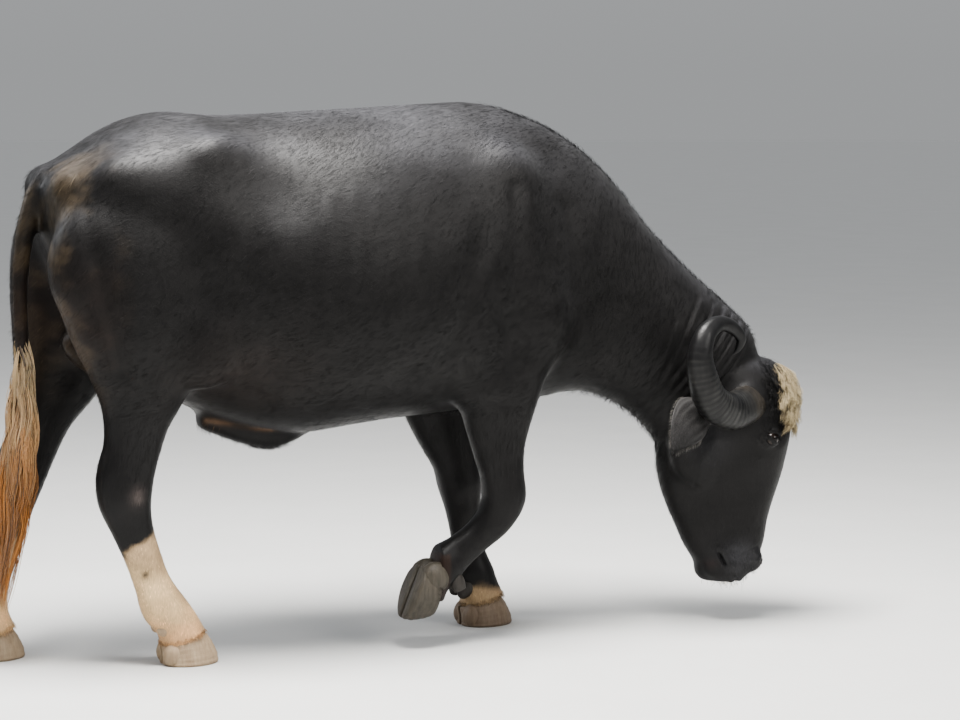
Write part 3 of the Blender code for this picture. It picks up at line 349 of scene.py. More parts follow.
# x, y outward, z, half depth fore and aft, half width, squareness
limbs = {
    "foreRight": (-1, [
        (0.000, 0.150, 0.86, 0.170, 0.090, 2.0),
        (-0.008, 0.158, 0.75, 0.150, 0.092, 2.0),
        (-0.014, 0.158, 0.66, 0.122, 0.080, 2.0),
        (-0.014, 0.154, 0.58, 0.096, 0.066, 2.0),
        (-0.010, 0.150, 0.50, 0.072, 0.055, 2.1),
        (0.000, 0.148, 0.43, 0.058, 0.052, 2.3),
        (0.005, 0.147, 0.375, 0.058, 0.052, 2.4),
        (-0.020, 0.145, 0.320, 0.050, 0.044, 2.2),
        (-0.066, 0.141, 0.276, 0.043, 0.038, 2.1),
        (-0.115, 0.137, 0.238, 0.046, 0.040, 2.1),
        (-0.158, 0.134, 0.205, 0.056, 0.053, 2.2),
        (-0.190, 0.132, 0.172, 0.053, 0.054, 2.2),
        (-0.209, 0.131, 0.140, 0.058, 0.060, 2.2),
    ]),
    "foreLeft": (1, [
        (-0.030, 0.150, 0.86, 0.170, 0.090, 2.0),
        (-0.045, 0.156, 0.75, 0.150, 0.090, 2.0),
        (-0.056, 0.152, 0.66, 0.126, 0.080, 2.0),
        (-0.054, 0.146, 0.58, 0.104, 0.068, 2.0),
        (-0.036, 0.140, 0.50, 0.080, 0.058, 2.1),
        (-0.014, 0.136, 0.43, 0.063, 0.054, 2.3),
        (-0.004, 0.133, 0.375, 0.060, 0.054, 2.4),
        (0.002, 0.130, 0.320, 0.050, 0.046, 2.2),
        (0.010, 0.128, 0.250, 0.043, 0.038, 2.1),
        (0.020, 0.126, 0.190, 0.045, 0.040, 2.1),
        (0.030, 0.125, 0.140, 0.055, 0.053, 2.2),
        (0.044, 0.124, 0.100, 0.054, 0.055, 2.2),
        (0.056, 0.123, 0.060, 0.060, 0.062, 2.2),
    ]),
    "hindRight": (-1, [
        (-0.930, 0.140, 1.12, 0.200, 0.100, 2.0),
        (-0.950, 0.160, 1.00, 0.215, 0.120, 2.0),
        (-0.952, 0.165, 0.88, 0.195, 0.120, 2.0),
        (-0.944, 0.160, 0.78, 0.165, 0.104, 2.0),
        (-0.945, 0.150, 0.69, 0.124, 0.084, 2.0),
        (-0.955, 0.142, 0.61, 0.086, 0.066, 2.0),
        (-0.966, 0.136, 0.54, 0.073, 0.055, 2.1),
        (-0.983, 0.131, 0.47, 0.074, 0.052, 2.2),
        (-0.983, 0.128, 0.42, 0.069, 0.052, 2.3),
        (-0.965, 0.124, 0.35, 0.054, 0.044, 2.2),
        (-0.936, 0.121, 0.27, 0.047, 0.038, 2.1),
        (-0.910, 0.117, 0.20, 0.048, 0.040, 2.1),
        (-0.884, 0.113, 0.145, 0.057, 0.052, 2.2),
        (-0.852, 0.110, 0.105, 0.054, 0.055, 2.2),
        (-0.832, 0.108, 0.060, 0.060, 0.062, 2.2),
    ]),
    "hindLeft": (1, [
        (-0.950, 0.140, 1.12, 0.200, 0.100, 2.0),
        (-0.985, 0.160, 1.00, 0.205, 0.118, 2.0),
        (-1.015, 0.165, 0.88, 0.185, 0.118, 2.0),
        (-1.045, 0.162, 0.78, 0.155, 0.100, 2.0),
        (-1.080, 0.156, 0.69, 0.118, 0.080, 2.0),
        (-1.115, 0.150, 0.61, 0.086, 0.064, 2.0),
        (-1.140, 0.146, 0.54, 0.071, 0.053, 2.1),
        (-1.172, 0.143, 0.47, 0.070, 0.050, 2.2),
        (-1.188, 0.141, 0.42, 0.064, 0.049, 2.3),
        (-1.205, 0.138, 0.35, 0.050, 0.042, 2.2),
        (-1.230, 0.136, 0.27, 0.047, 0.038, 2.1),
        (-1.252, 0.135, 0.20, 0.048, 0.040, 2.1),
        (-1.270, 0.134, 0.145, 0.057, 0.052, 2.2),
        (-1.264, 0.134, 0.105, 0.054, 0.055, 2.2),
        (-1.252, 0.134, 0.060, 0.060, 0.062, 2.2),
    ]),
}


def trunkForm(count=48):
    rings = []
    for row in fairRows([(r[0], r[1], 0.0, *r) for r in body["trunk"]], 4):
        topX, topZ, lowX, lowZ, share, high, upper, lower = row[3:]
        top, low = np.array([topX, 0.0, topZ]), np.array([lowX, 0.0, lowZ])
        half = body["barrelHalf"] * share
        middle = low + (top - low) * high
        ring = []
        for j in range(count):
            a = 2 * math.pi * j / count
            c, s = math.cos(a), math.sin(a)
            reach, blunt = (top - middle, upper) if s > 0 else (middle - low, lower)
            ring.append(middle + reach * rounded(s, blunt) + np.array([0, half * rounded(c, blunt), 0]))
        rings.append(ring)
    return loftRings(rings)


def skullForm(count=40):
    rings = []
    for row in fairRows([(r[0], 0.0, 0.0, *r) for r in body["skull"]], 4):
        down, front, back, half, wide, bluntFront, bluntBack = row[3:]
        ring = []
        for j in range(count):
            a = 2 * math.pi * j / count
            c, s = math.cos(a), math.sin(a)
            reach, blunt = (front - wide, bluntFront) if s > 0 else (wide - back, bluntBack)
            ring.append(inHead(half * rounded(c, blunt), wide + reach * rounded(s, blunt), down))
        rings.append(ring)
    return loftRings(rings)


def limbForm(side, rows):
    rows = fairRows(rows, 4)
    rows[:, 1] *= side
    return tubeForm(rows, 28)


sheathRows = [
    (-0.760, 0.0, 0.592, 0.024, 0.034, 2.0),
    (-0.690, 0.0, 0.574, 0.034, 0.042, 2.0),
    (-0.620, 0.0, 0.556, 0.040, 0.044, 2.0),
    (-0.560, 0.0, 0.548, 0.040, 0.042, 2.0),
    (-0.515, 0.0, 0.556, 0.034, 0.040, 2.0),
    (-0.460, 0.0, 0.578, 0.026, 0.034, 2.0),
]


muscles = {
    # x, y outward, z, the radii, pitch and outward yaw, made once on each side
    "body": [
        (-0.765, 0.200, 1.252, 0.100, 0.066, 0.066, 0.10, -0.30),
        (-0.900, 0.165, 1.222, 0.185, 0.062, 0.072, -0.20, 0.0),
        (-0.815, 0.195, 1.120, 0.095, 0.078, 0.170, 0.05, 0.0),
        (-1.100, 0.130, 1.172, 0.070, 0.048, 0.062, 0.30, 0.0),
        (-0.900, 0.185, 1.140, 0.200, 0.085, 0.120, 0.35, 0.0),
        (-0.968, 0.178, 0.985, 0.222, 0.108, 0.205, 0.10, 0.0),
        (-0.785, 0.220, 0.822, 0.105, 0.066, 0.148, 0.35, 0.0),
        (-0.030, 0.178, 1.060, 0.130, 0.080, 0.230, 0.20, 0.0),
        (0.070, 0.180, 0.860, 0.110, 0.080, 0.150, -0.35, 0.0),
        (-0.120, 0.205, 0.830, 0.125, 0.080, 0.170, 0.45, 0.0),
        (-0.055, 0.175, 0.690, 0.115, 0.075, 0.110, 0.10, 0.0),
    ],
    # outward, front and down in the head, the radii and pitch
    "head": [
        (0.100, 0.100, 0.185, 0.038, 0.030, 0.048, 0.0),
        (0.064, -0.090, 0.240, 0.085, 0.042, 0.105, -0.15),
        (0.044, 0.062, 0.540, 0.034, 0.032, 0.036, 0.0),
        (0.040, -0.010, 0.560, 0.060, 0.030, 0.034, 0.0),
        (0.080, 0.034, 0.114, 0.066, 0.052, 0.068, 0.0),
        (0.088, -0.112, 0.142, 0.042, 0.040, 0.042, 0.0),
    ],
}


def muscleForms():
    out = []
    for side in (-1, 1):
        out += [ballForm((x, side * y, z), radii, pitch, side * yaw)
                for x, y, z, *radii, pitch, yaw in muscles["body"]]
    out.append(ballForm((0.150, 0.0, 0.700), (0.110, 0.105, 0.090), 0.3))
    out.append(tubeForm(fairRows(sheathRows, 4), 24))
    out.append(ballForm((-0.960, 0.0, 0.760), (0.160, 0.075, 0.080), 0.3))
    for side in (-1, 1):
        out += [ballForm(inHead(side * away, front, down), radii, pitch)
                for away, front, down, *radii, pitch in muscles["head"]]
    out.append(ballForm(inHead(0.0, 0.100, 0.110), (0.085, 0.088, 0.105)))
    out.append(ballForm(inHead(0.0, -0.040, 0.562), (0.042, 0.048, 0.040)))
    return out


# the tail's dock: x, z and radius, from inside the rump down to the switch
tailDock = {
    "rows": [
        (-1.060, 1.205, 0.0347),
        (-1.105, 1.212, 0.0341),
        (-1.142, 1.182, 0.0316),
        (-1.172, 1.120, 0.0279),
        (-1.196, 1.020, 0.0236),
        (-1.203, 0.900, 0.0205),
        (-1.201, 0.800, 0.0198),
        (-1.199, 0.740, 0.0150),
    ],
}


def dockForm():
    rows = [(x, 0.0, z, radius, radius * 0.9, 2.0) for x, z, radius in tailDock["rows"]]
    return tubeForm(fairRows(rows, 4), 18)


# the skin: one mesh for all the flesh, with finer faces on the head and finest round the eyes

eyeSet = {
    "radius": 0.0205,
    "depth": 0.104,          # of its middle, out from the head's midline
    "place": (0.094, 0.212),     # out of the forehead, down from the poll
    "openLong": 0.0215,      # half length of the lids' opening
    "openTall": 0.0090,
    "lid": 0.0026,           # how far the lid's rim stands off the eyeball
    "cornea": 0.0012,        # how far it rises off the ball
    "brown": (0.010, 0.005, 0.003),
    "white": (0.022, 0.015, 0.012),
}
skinLook = {
    "depth": 0.0012,         # how far it lies inside the solids' surface, under the coat
    "headFrom": 0.50,
    "headTop": 0.82,
}


def keepLargest(piece):
    form = bmesh.new()
    form.from_mesh(piece.data)
    form.verts.ensure_lookup_table()
    seen, best = set(), []
    for start in form.verts:
        if start.index in seen:
            continue
        seen.add(start.index)
        group, queue = [], [start]
        while queue:
            vert = queue.pop()
            group.append(vert)
            for edge in vert.link_edges:
                other = edge.other_vert(vert)
                if other.index not in seen:
                    seen.add(other.index)
                    queue.append(other)
        if len(group) > len(best):
            best = group
    kept = {v.index for v in best}
    bmesh.ops.delete(form, geom=[v for v in form.verts if v.index not in kept], context="VERTS")
    form.to_mesh(piece.data)
    form.free()


def meltedSkin():
    forms = [trunkForm(), skullForm(), dockForm()] + muscleForms()
    forms += [limbForm(side, rows) for side, rows in limbs.values()]
    skin = newPiece("skin", *joinForms(forms))
    melt = skin.modifiers.new("melt", "REMESH")
    melt.mode = "VOXEL"
    melt.voxel_size = body["voxel"]
    applyModifiers(skin)
    keepLargest(skin)
    return skin


def headShare(points):
    return (np.clip((points[:, 0] - 0.50) / 0.10, 0, 1)
            * np.clip((0.76 - points[:, 2]) / 0.08, 0, 1))


def legShare(points):
    low = np.clip((0.50 - points[:, 2]) / 0.12, 0, 1) * (points[:, 0] < 0.3)
    dock = smoothStep(-1.125, -1.155, points[:, 0]) * smoothStep(0.060, 0.040, np.abs(points[:, 1]))
    return np.maximum(low, dock * (points[:, 2] > 0.70))


def sideways(path, side):
    return [(x, side * y, z) for x, y, z in path]


creases = {
    # path on the left side, width and height, that the solids have too
    "solid": [
        ([(-0.06, 0.30, 1.20), (-0.09, 0.32, 1.10), (-0.155, 0.33, 0.86), (-0.20, 0.31, 0.74),
          (-0.23, 0.27, 0.66)], 0.033, -0.013),
        ([(-0.075, 0.27, 0.92), (-0.02, 0.26, 0.80), (0.0, 0.24, 0.70)], 0.022, -0.008),
    ],
    # before the hip, girth, flank's fold, behind the thigh, shoulder, arm, its point and the elbow
    "fine": [
        ([(-0.735, 0.25, 1.27), (-0.712, 0.28, 1.20), (-0.705, 0.30, 1.08), (-0.715, 0.30, 0.95)],
         0.036, -0.005),
        ([(-0.13, 0.32, 0.93), (-0.17, 0.31, 0.80), (-0.20, 0.28, 0.68)], 0.010, -0.004),
        ([(-0.60, 0.24, 0.64), (-0.67, 0.25, 0.70), (-0.71, 0.26, 0.80), (-0.72, 0.27, 0.92)], 0.030, 0.006),
        ([(-1.085, 0.20, 1.12), (-1.08, 0.26, 1.00), (-1.06, 0.27, 0.88), (-1.02, 0.24, 0.74)],
         0.022, -0.008),
        ([(0.00, 0.24, 1.17), (0.00, 0.28, 1.08), (-0.01, 0.29, 0.96), (-0.005, 0.27, 0.86)], 0.020, -0.005),
        ([(0.045, 0.24, 1.12), (0.05, 0.27, 1.00), (0.045, 0.27, 0.88)], 0.030, 0.005),
        ([(0.16, 0.18, 1.10), (0.17, 0.20, 0.98), (0.15, 0.20, 0.86)], 0.035, -0.006),
        ([(-0.15, 0.26, 0.74), (-0.125, 0.26, 0.67), (-0.07, 0.24, 0.63), (-0.02, 0.22, 0.62)],
         0.013, -0.006),
    ],
    "vein": ([(-0.55, 0.20, 0.585), (-0.42, 0.22, 0.58), (-0.30, 0.20, 0.585), (-0.18, 0.18, 0.60)],
             0.008, 0.0030),
}


def shapeBody(points, normals):
    def press(path, width, height):
        stroke(points, normals, sideways(path, side), width, height)
    for side in (-1, 1):
        press(*creases["solid"][0])
        swell(points, normals, (-0.63, side * 0.30, 1.16), (0.09, 0.10, 0.10), -0.018)
        swell(points, normals, (-0.66, side * 0.27, 0.72), (0.06, 0.12, 0.09), -0.012)
        press(*creases["solid"][1])
    # and finer ones that only the skin shows
    for side in (-1, 1):
        for k in range(7):      # ribs
            x = -0.66 + 0.062 * k
            press([(x + 0.03, 0.30, 1.16), (x, 0.345, 1.02), (x - 0.005, 0.34, 0.88), (x + 0.03, 0.29, 0.72)],
                  0.022, 0.0014)
        for crease in creases["fine"]:
            press(*crease)
        for k in range(4):      # thin skin that gathers behind the elbow
            press([(-0.20 - 0.018 * k, 0.28, 0.70), (-0.175 - 0.018 * k, 0.27, 0.655),
                   (-0.12 - 0.020 * k, 0.23, 0.618)], 0.006, -0.0028)
        for k in range(3):      # and in the flank's fold
            press([(-0.63 - 0.03 * k, 0.27, 0.80 - 0.02 * k), (-0.66 - 0.025 * k, 0.26, 0.73 - 0.02 * k),
                   (-0.68 - 0.02 * k, 0.23, 0.67 - 0.01 * k)], 0.007, -0.0026)
        press(*creases["vein"])


def shapeLegs(points, normals):
    # tendons behind each cannon, hollows beside them, and the bones of knee and hock
    for side, rows in limbs.values():
        table = [r for r in rows if r[2] < 0.44]
        for x, y, z, deep, half, _ in table:
            if z > 0.36 or z < 0.14:
                continue
            swell(points, normals, (x - deep * 0.30, side * (y + half), z), (0.016, 0.02, 0.030), -0.0030)
            swell(points, normals, (x - deep * 0.30, side * (y - half), z), (0.016, 0.02, 0.030), -0.0030)
        joint = min(rows, key=lambda r: abs(r[2] - 0.40))
        for out in (-1, 1):
            place = (joint[0] + 0.2 * joint[3], side * joint[1] + out * joint[4], joint[2])
            swell(points, normals, place, (0.024, 0.03, 0.030), 0.0035)
            below = (joint[0] - 0.3 * joint[3], side * joint[1] + out * joint[4], joint[2] - 0.045)
            swell(points, normals, below, (0.016, 0.03, 0.022), -0.0030)


def makeSkin():
    skin = meltedSkin()
    points, edges = readMesh(skin.data)
    weight = (1.0 - 0.75 * np.maximum(headShare(points), legShare(points)))[:, None]
    points = smoothPoints(points, edges, 70, weight)
    upper = np.clip((points[:, 2] - 0.62) / 0.12, 0, 1) * np.clip((0.58 - points[:, 0]) / 0.12, 0, 1)
    upper = upper * (1.0 - legShare(points))
    points = smoothPoints(points, edges, 60, upper[:, None], 0.0)
    folded = points * (1.0, 0.0, 1.0) + np.abs(points) * (0.0, 1.0, 0.0)
    soft = np.zeros(len(points))
    for place in body["softBones"]:
        away = np.linalg.norm(folded - np.array(place), axis=1)
        soft = np.maximum(soft, np.exp(-(away / body["softReach"]) ** 2))
    points = smoothPoints(points, edges, 140, soft[:, None], 0.0)
    writePoints(skin.data, points)
    shapeBody(points, normalsOf(skin.data))
    shapeLegs(points, normalsOf(skin.data))
    writePoints(skin.data, smoothPoints(points, edges, 3, weight * 0.6))
    return skin


def refine(piece, inside, cuts=1):
    # splits the faces where inside(points) holds, and rounds what that leaves faceted
    form = bmesh.new()
    form.from_mesh(piece.data)
    points, _ = readMesh(piece.data)
    chosen = inside(points)
    edges = [e for e in form.edges if chosen[e.verts[0].index] and chosen[e.verts[1].index]]
    bmesh.ops.subdivide_edges(form, edges=edges, cuts=cuts, use_grid_fill=True)
    form.to_mesh(piece.data)
    form.free()
    points, edges = readMesh(piece.data)
    weight = inside(points).astype(float)[:, None]
    writePoints(piece.data, smoothPoints(points, edges, 6, weight))


def eyeFrame(side):
    # the eyeball's middle, the way it looks out, along its opening and up across it
    middle = inHead(side * eyeSet["depth"], *eyeSet["place"])
    out = np.array([0.42, side * 0.90, 0.10])
    out /= np.linalg.norm(out)
    along = np.array([0.80, 0.0, -0.60])      # from the outer corner to the inner one
    along -= out * along.dot(out)
    along /= np.linalg.norm(along)
    up = np.cross(out, along) * -side
    if up[2] < 0:
        up = -up
    return middle, out, along, up


def lidOpening(u, v):
    # below 0 inside the lids' opening, in metres; the upper lid arches more than the lower
    long, tall = eyeSet["openLong"], eyeSet["openTall"]
    t = np.clip(u / long, -1.0, 1.0)
    upper = tall * (1.0 - np.abs(t) ** 2.2) * (1.0 - 0.12 * t)
    lower = -tall * 0.72 * (1.0 - np.abs(t) ** 2.4)
    across = np.maximum(v - upper, lower - v)
    return np.maximum(across, np.abs(u) - long)


def shapeEye(points, side):
    middle, out, along, up = eyeFrame(side)
    radius = eyeSet["radius"]
    away = points - middle
    near = np.nonzero((np.linalg.norm(away, axis=1) < 0.070) & (away @ out > -0.004))[0]
    rel = away[near]
    dist = np.linalg.norm(rel, axis=1)
    ray = rel / dist[:, None]
    depth = ray @ out
    u, v = ray @ along * radius, ray @ up * radius
    gap = lidOpening(u, v)
    # the lids drape over the ball, then run out into the face
    cover = radius + eyeSet["lid"] + 0.0010 * np.exp(-(np.maximum(gap, 0.0) / 0.004) ** 2)
    crease = -0.0016 * np.exp(-((gap - 0.0075) / 0.0016) ** 2) * smoothStep(-0.004, 0.004, v)
    crease -= 0.0010 * np.exp(-((gap - 0.0060) / 0.0014) ** 2) * smoothStep(0.004, -0.004, v)
    blend = smoothStep(0.004, 0.020, gap)
    lidded = cover * (1.0 - blend) + dist * blend + crease
    inner = radius - 0.0035
    target = np.where(gap < 0.0, inner, lidded)
    front = smoothStep(0.05, 0.30, depth)
    dist = dist * (1.0 - front) + target * front
    points[near] = middle + ray * dist[:, None]


wrinkleSet = {
    # top x of the neck's section, share of the section where it starts and ends, width, depth
    "folds": [
        (0.560, 0.10, 0.62, 0.006, -0.0022),
        (0.600, 0.05, 0.88, 0.006, -0.0028),
        (0.636, 0.00, 0.92, 0.005, -0.0030),
        (0.664, 0.10, 0.97, 0.005, -0.0038),
        (0.686, 0.30, 0.98, 0.004, -0.0036),
        (0.697, 0.50, 0.93, 0.003, -0.0020),
        (0.707, 0.12, 0.96, 0.004, -0.0032),
        (0.717, 0.55, 0.90, 0.003, -0.0018),
        (0.727, 0.45, 0.99, 0.004, -0.0026),
        (0.742, 0.35, 0.95, 0.003, -0.0024),
    ],
}


def neckFolds(points, normals, tree):
    # folds across the neck behind the head, each followed by a low swell
    table = np.array([(r[0], r[1], 0.0, *r) for r in body["trunk"]], float)
    for number, (topX, low, high, width, depth) in enumerate(wrinkleSet["folds"]):
        row = [np.interp(topX, table[:, 0], table[:, k]) for k in range(3, 11)]
        top, bottom = np.array([row[0], 0.0, row[1]]), np.array([row[2], 0.0, row[3]])
        for side in (-1, 1):
            path = []
            for t in np.linspace(low, high, 14):
                half = body["barrelHalf"] * row[4] * math.sqrt(max(1.0 - (2.0 * t - 1.0) ** 2, 0.0))
                bend = 0.008 * math.sin(6.0 * t + 1.7 * number + side)
                bend += 0.003 * math.sin(19.0 * t + 2.3 * number)
                spot = bottom + (top - bottom) * t + np.array([bend, side * half, bend])
                hit = tree.find_nearest(Vector(spot))
                path.append(np.array(hit[0]))
            stroke(points, normals, path, width, depth * 0.80)
            swollen = [p + np.array([0.010, 0.0, -0.008]) for p in path]
            stroke(points, normals, swollen, width * 1.3, -0.30 * depth)


def shapeHead(points, normals):
    for side in (-1, 1):
        ridge = [inHead(side * 0.062, 0.010, 0.020), inHead(side * 0.086, 0.040, 0.044),
                 inHead(side * 0.090, 0.088, 0.060), inHead(side * 0.078, 0.120, 0.090)]
        stroke(points, normals, ridge, 0.008, 0.005)
        cheek = [inHead(side * 0.112, 0.060, 0.270), inHead(side * 0.100, 0.080, 0.350),
                 inHead(side * 0.084, 0.070, 0.430)]
        stroke(points, normals, cheek, 0.012, 0.0035)
        jaw = [inHead(side * 0.105, -0.060, 0.210), inHead(side * 0.100, -0.100, 0.270),
               inHead(side * 0.085, -0.110, 0.340)]
        stroke(points, normals, jaw, 0.016, 0.004)
        for k in range(5):      # fine folds above and below the eye
            high = -0.020 - 0.006 * k if k < 3 else 0.020 + 0.006 * (k - 3)
            fold = [inHead(side * 0.118, eyeSet["place"][0] - 0.034, eyeSet["place"][1] + high * 0.7),
                    inHead(side * 0.120, eyeSet["place"][0] - 0.004, eyeSet["place"][1] + high),
                    inHead(side * 0.104, eyeSet["place"][0] + 0.028, eyeSet["place"][1] + high * 0.8)]
            stroke(points, normals, fold, 0.0026, -0.0012)
        bridge = [inHead(side * 0.050, 0.160, 0.300), inHead(side * 0.044, 0.140, 0.380),
                  inHead(side * 0.042, 0.122, 0.460)]
        stroke(points, normals, bridge, 0.010, 0.003)
        swell(points, normals, inHead(side * 0.115, *eyeSet["place"]), (0.022, 0.03, 0.017), -0.006)
        for squash, height in ((1.0, 0.0075), (1.75, 0.0035)):
            ring = [inHead(side * 0.114, eyeSet["place"][0] + 0.021 * squash * math.cos(a),
                           eyeSet["place"][1] + 0.0135 * squash * math.sin(a))
                    for a in np.linspace(0, 2 * math.pi, 17)]
            stroke(points, normals, ring, 0.0065, height)


def mouthPath(side):
    return [inHead(side * 0.004, 0.036, 0.608), inHead(side * 0.032, 0.026, 0.602),
            inHead(side * 0.058, 0.004, 0.580), inHead(side * 0.070, -0.020, 0.545),
            inHead(side * 0.073, -0.044, 0.505)]


def shapeMuzzle(points, normals):
    for side in (-1, 1):
        mouth = mouthPath(side)
        stroke(points, normals, [p + np.array((0.012, 0, 0.004)) for p in mouth], 0.008, 0.004)
        stroke(points, normals, [p - np.array((0.012, 0, 0.000)) for p in mouth], 0.008, 0.003)
        stroke(points, normals, mouth, 0.0028, -0.012)
        rim = [inHead(side * 0.026, 0.104, 0.548), inHead(side * 0.046, 0.104, 0.532),
               inHead(side * 0.070, 0.086, 0.522)]
        stroke(points, normals, rim, 0.010, 0.001)
        for k in range(4):      # skin gathers behind the nostril and along the lip
            fold = [inHead(side * (0.050 + 0.006 * k), 0.100 - 0.012 * k, 0.495 + 0.004 * k),
                    inHead(side * (0.070 + 0.002 * k), 0.066 - 0.010 * k, 0.505 + 0.004 * k),
                    inHead(side * 0.076, 0.030 - 0.010 * k, 0.520 + 0.003 * k)]
            stroke(points, normals, fold, 0.0035, -0.0013)


def shapeNostril(points, normals, side):
    # a comma-shaped opening: a bean about a short arc, sunk up and back into the muzzle
    arc = [inHead(side * 0.026, 0.112, 0.566), inHead(side * 0.036, 0.112, 0.554),
           inHead(side * 0.050, 0.104, 0.546), inHead(side * 0.062, 0.092, 0.548)]
    away, wide = pathDistance(points, arc, [0.0040, 0.0080, 0.0085, 0.0045])
    share = away / wide
    inward = np.array([-0.72, -side * 0.18, 0.62])
    inward /= np.linalg.norm(inward)
    sink = 0.020 * (1.0 - smoothStep(0.45, 1.02, share))
    rim = 0.0018 * np.exp(-((share - 1.45) / 0.38) ** 2)
    points += inward * sink[:, None] + normals * rim[:, None]


def cutFeet(piece):
    # the flesh ends on a sloped plane, a little inside the claws
    form = bmesh.new()
    form.from_mesh(piece.data)
    for foot in feet:
        frameOfFoot = footFrame(foot) @ Matrix.Translation((0.0, 0.0, hoofSet["coronet"] - 0.006))
        frameOfFoot = frameOfFoot @ Matrix.Rotation(-hoofSet["slope"], 4, "Y")
        middle, up = frameOfFoot.translation, (frameOfFoot.to_3x3() @ Vector((0.0, 0.0, 1.0)))
        near = [v for v in form.verts if (v.co - middle).length < 0.17]
        faces = {f for v in near for f in v.link_faces}
        around = list(faces) + list({e for f in faces for e in f.edges})
        around += list({v for f in faces for v in f.verts})
        bmesh.ops.bisect_plane(form, geom=around, plane_co=middle, plane_no=up, dist=1e-6)
        below = [v for v in form.verts if (v.co - middle).length < 0.15 and (v.co - middle).dot(up) < -1e-5]
        bmesh.ops.delete(form, geom=below, context="VERTS")
    rims = [e for e in form.edges if e.is_boundary]
    bmesh.ops.holes_fill(form, edges=rims, sides=0)
    bmesh.ops.triangulate(form, faces=[f for f in form.faces if len(f.verts) > 4])
    form.to_mesh(piece.data)
    form.free()


feet = {
    # middle of the sole, and how the toes point in the x-z plane
    "fore_right": ((-0.243, -0.131, 0.148), math.radians(-112.0)),
    "fore_left": ((0.060, 0.123, 0.0), 0.0),
    "hind_right": ((-0.820, -0.107, 0.0), 0.0),
    "hind_left": ((-1.248, 0.134, 0.0), 0.0),
}
hoofSet = {
    "length": 0.132,
    "coronet": 0.066,
    "slope": math.radians(14.0),
    "cleft": 0.004,
    "rings": 5,              # growth rings down each claw
}


def footFrame(foot):
    middle, tilt = feet[foot]
    return Matrix.Translation(middle) @ Matrix.Rotation(-tilt, 4, "Y")


# horns

hornSet = {
    "radius": 0.050,
    "curl": [
        # out, front, down in the head, and share of the radius
        (0.060, 0.060, 0.105, 1.00),
        (0.108, 0.022, 0.120, 1.00),
        (0.159, -0.040, 0.130, 0.96),
        (0.203, -0.104, 0.098, 0.88),
        (0.234, -0.140, 0.039, 0.79),
        (0.246, -0.153, -0.027, 0.66),
        (0.237, -0.134, -0.079, 0.54),
        (0.217, -0.095, -0.102, 0.43),
        (0.197, -0.047, -0.089, 0.35),
        (0.186, -0.021, -0.057, 0.26),
        (0.182, -0.033, -0.027, 0.12),
        (0.183, -0.042, -0.019, 0.03),
    ],
    "ringEvery": 0.0145,
    "ringHeight": 0.0026,
    "count": 48,
    "dark": (0.0080, 0.0080, 0.0085),
    "crest": (0.0640, 0.0640, 0.0600),
    "root": (0.0480, 0.0400, 0.0310),
}


def hornForm(side):
    rows = []
    for out, front, down, share in hornSet["curl"]:
        radius = hornSet["radius"] * share
        rows.append((*inHead(side * out, front, down), radius, radius * 0.86, 2.2))
    rows = fairRows(rows, 16)
    run = np.concatenate([[0.0], np.cumsum(np.linalg.norm(np.diff(rows[:, :3], axis=0), axis=1))])
    fade = smoothStep(0.03, 0.07, run) * smoothStep(0.52, 0.30, run / run[-1] * 0.75)
    phase = run / hornSet["ringEvery"]
    ring = np.exp(-((phase - np.round(phase)) / 0.17) ** 2)
    uneven = np.array([0.6 + 0.8 * abs(noise.noise(Vector((p, side, 3.1)))) for p in np.round(phase)])
    rows[:, 3] += hornSet["ringHeight"] * ring * fade * uneven
    rows[:, 4] += hornSet["ringHeight"] * ring * fade * uneven
    points, faces = tubeForm(rows, hornSet["count"], level=(0.25, 1.0, 0.0))
    for k in range(len(points)):      # long shallow flutes and a worn surface
        p = Vector(points[k])
        points[k] += 0.0006 * np.array(noise.noise_vector(p * 38.0))
    station = np.minimum(np.arange(len(points)) // hornSet["count"], len(rows) - 1)
    worn = 0.55 + 0.45 * noiseAt(points, 90.0, 51)
    crest = (ring * fade)[station] * worn
    rootShare = smoothStep(0.115, 0.055, run[station]) * (0.7 + 0.3 * noiseAt(points, 160.0, 52))
    colour = np.array(hornSet["dark"]) * (0.85 + 0.25 * worn)[:, None]
    colour = blendTo(colour, hornSet["crest"], np.clip(crest, 0, 1) * 0.75)
    colour = blendTo(colour, hornSet["root"], np.clip(rootShare, 0, 1) * 0.70)
    return turned(points), faces, colour


# ears

earSet = {
    # along the ear, half width, hollow depth and how far the rim rolls, from root to tip
    "rows": [
        (0.00, 0.026, 0.026, 2.60),
        (0.12, 0.030, 0.028, 2.30),
        (0.25, 0.045, 0.030, 1.90),
        (0.42, 0.059, 0.026, 1.55),
        (0.60, 0.058, 0.020, 1.40),
        (0.78, 0.042, 0.014, 1.35),
        (0.92, 0.022, 0.008, 1.35),
        (1.00, 0.007, 0.004, 1.35),
    ],
    # root, bend and tip in the head
    "curve": {
        -1: ((0.098, -0.090, 0.146), (0.185, -0.170, 0.128), (0.262, -0.235, 0.219)),
        1: ((0.095, -0.125, 0.160), (0.165, -0.085, 0.260), (0.285, 0.010, 0.285)),
    },
    "stalk": 0.032,
    # which way the back of each ear faces
    "back": {-1: (0.50, -0.70, 0.35), 1: (-0.35, 0.75, 0.55)},
    "wall": 0.0048,
    # the back's pale grey is partly the ear's own grey skin and partly painted sheen, as the back faces up
    "outside": (0.080, 0.077, 0.076),
    "inside": (0.030, 0.020, 0.017),
    "rimHair": (0.200, 0.188, 0.172),
}


def earLine(side, t):
    root, bend, tip = (inHead(*place[:1], *place[1:]) for place in
                       [(side * o, f, d) for o, f, d in earSet["curve"][side]])
    start = 2.0 * (bend - root)
    if t <= 0.0:
        return root + start * t, start
    place = (1 - t) ** 2 * root + 2 * t * (1 - t) * bend + t * t * tip
    return place, 2.0 * ((1 - t) * (bend - root) + t * (tip - bend))


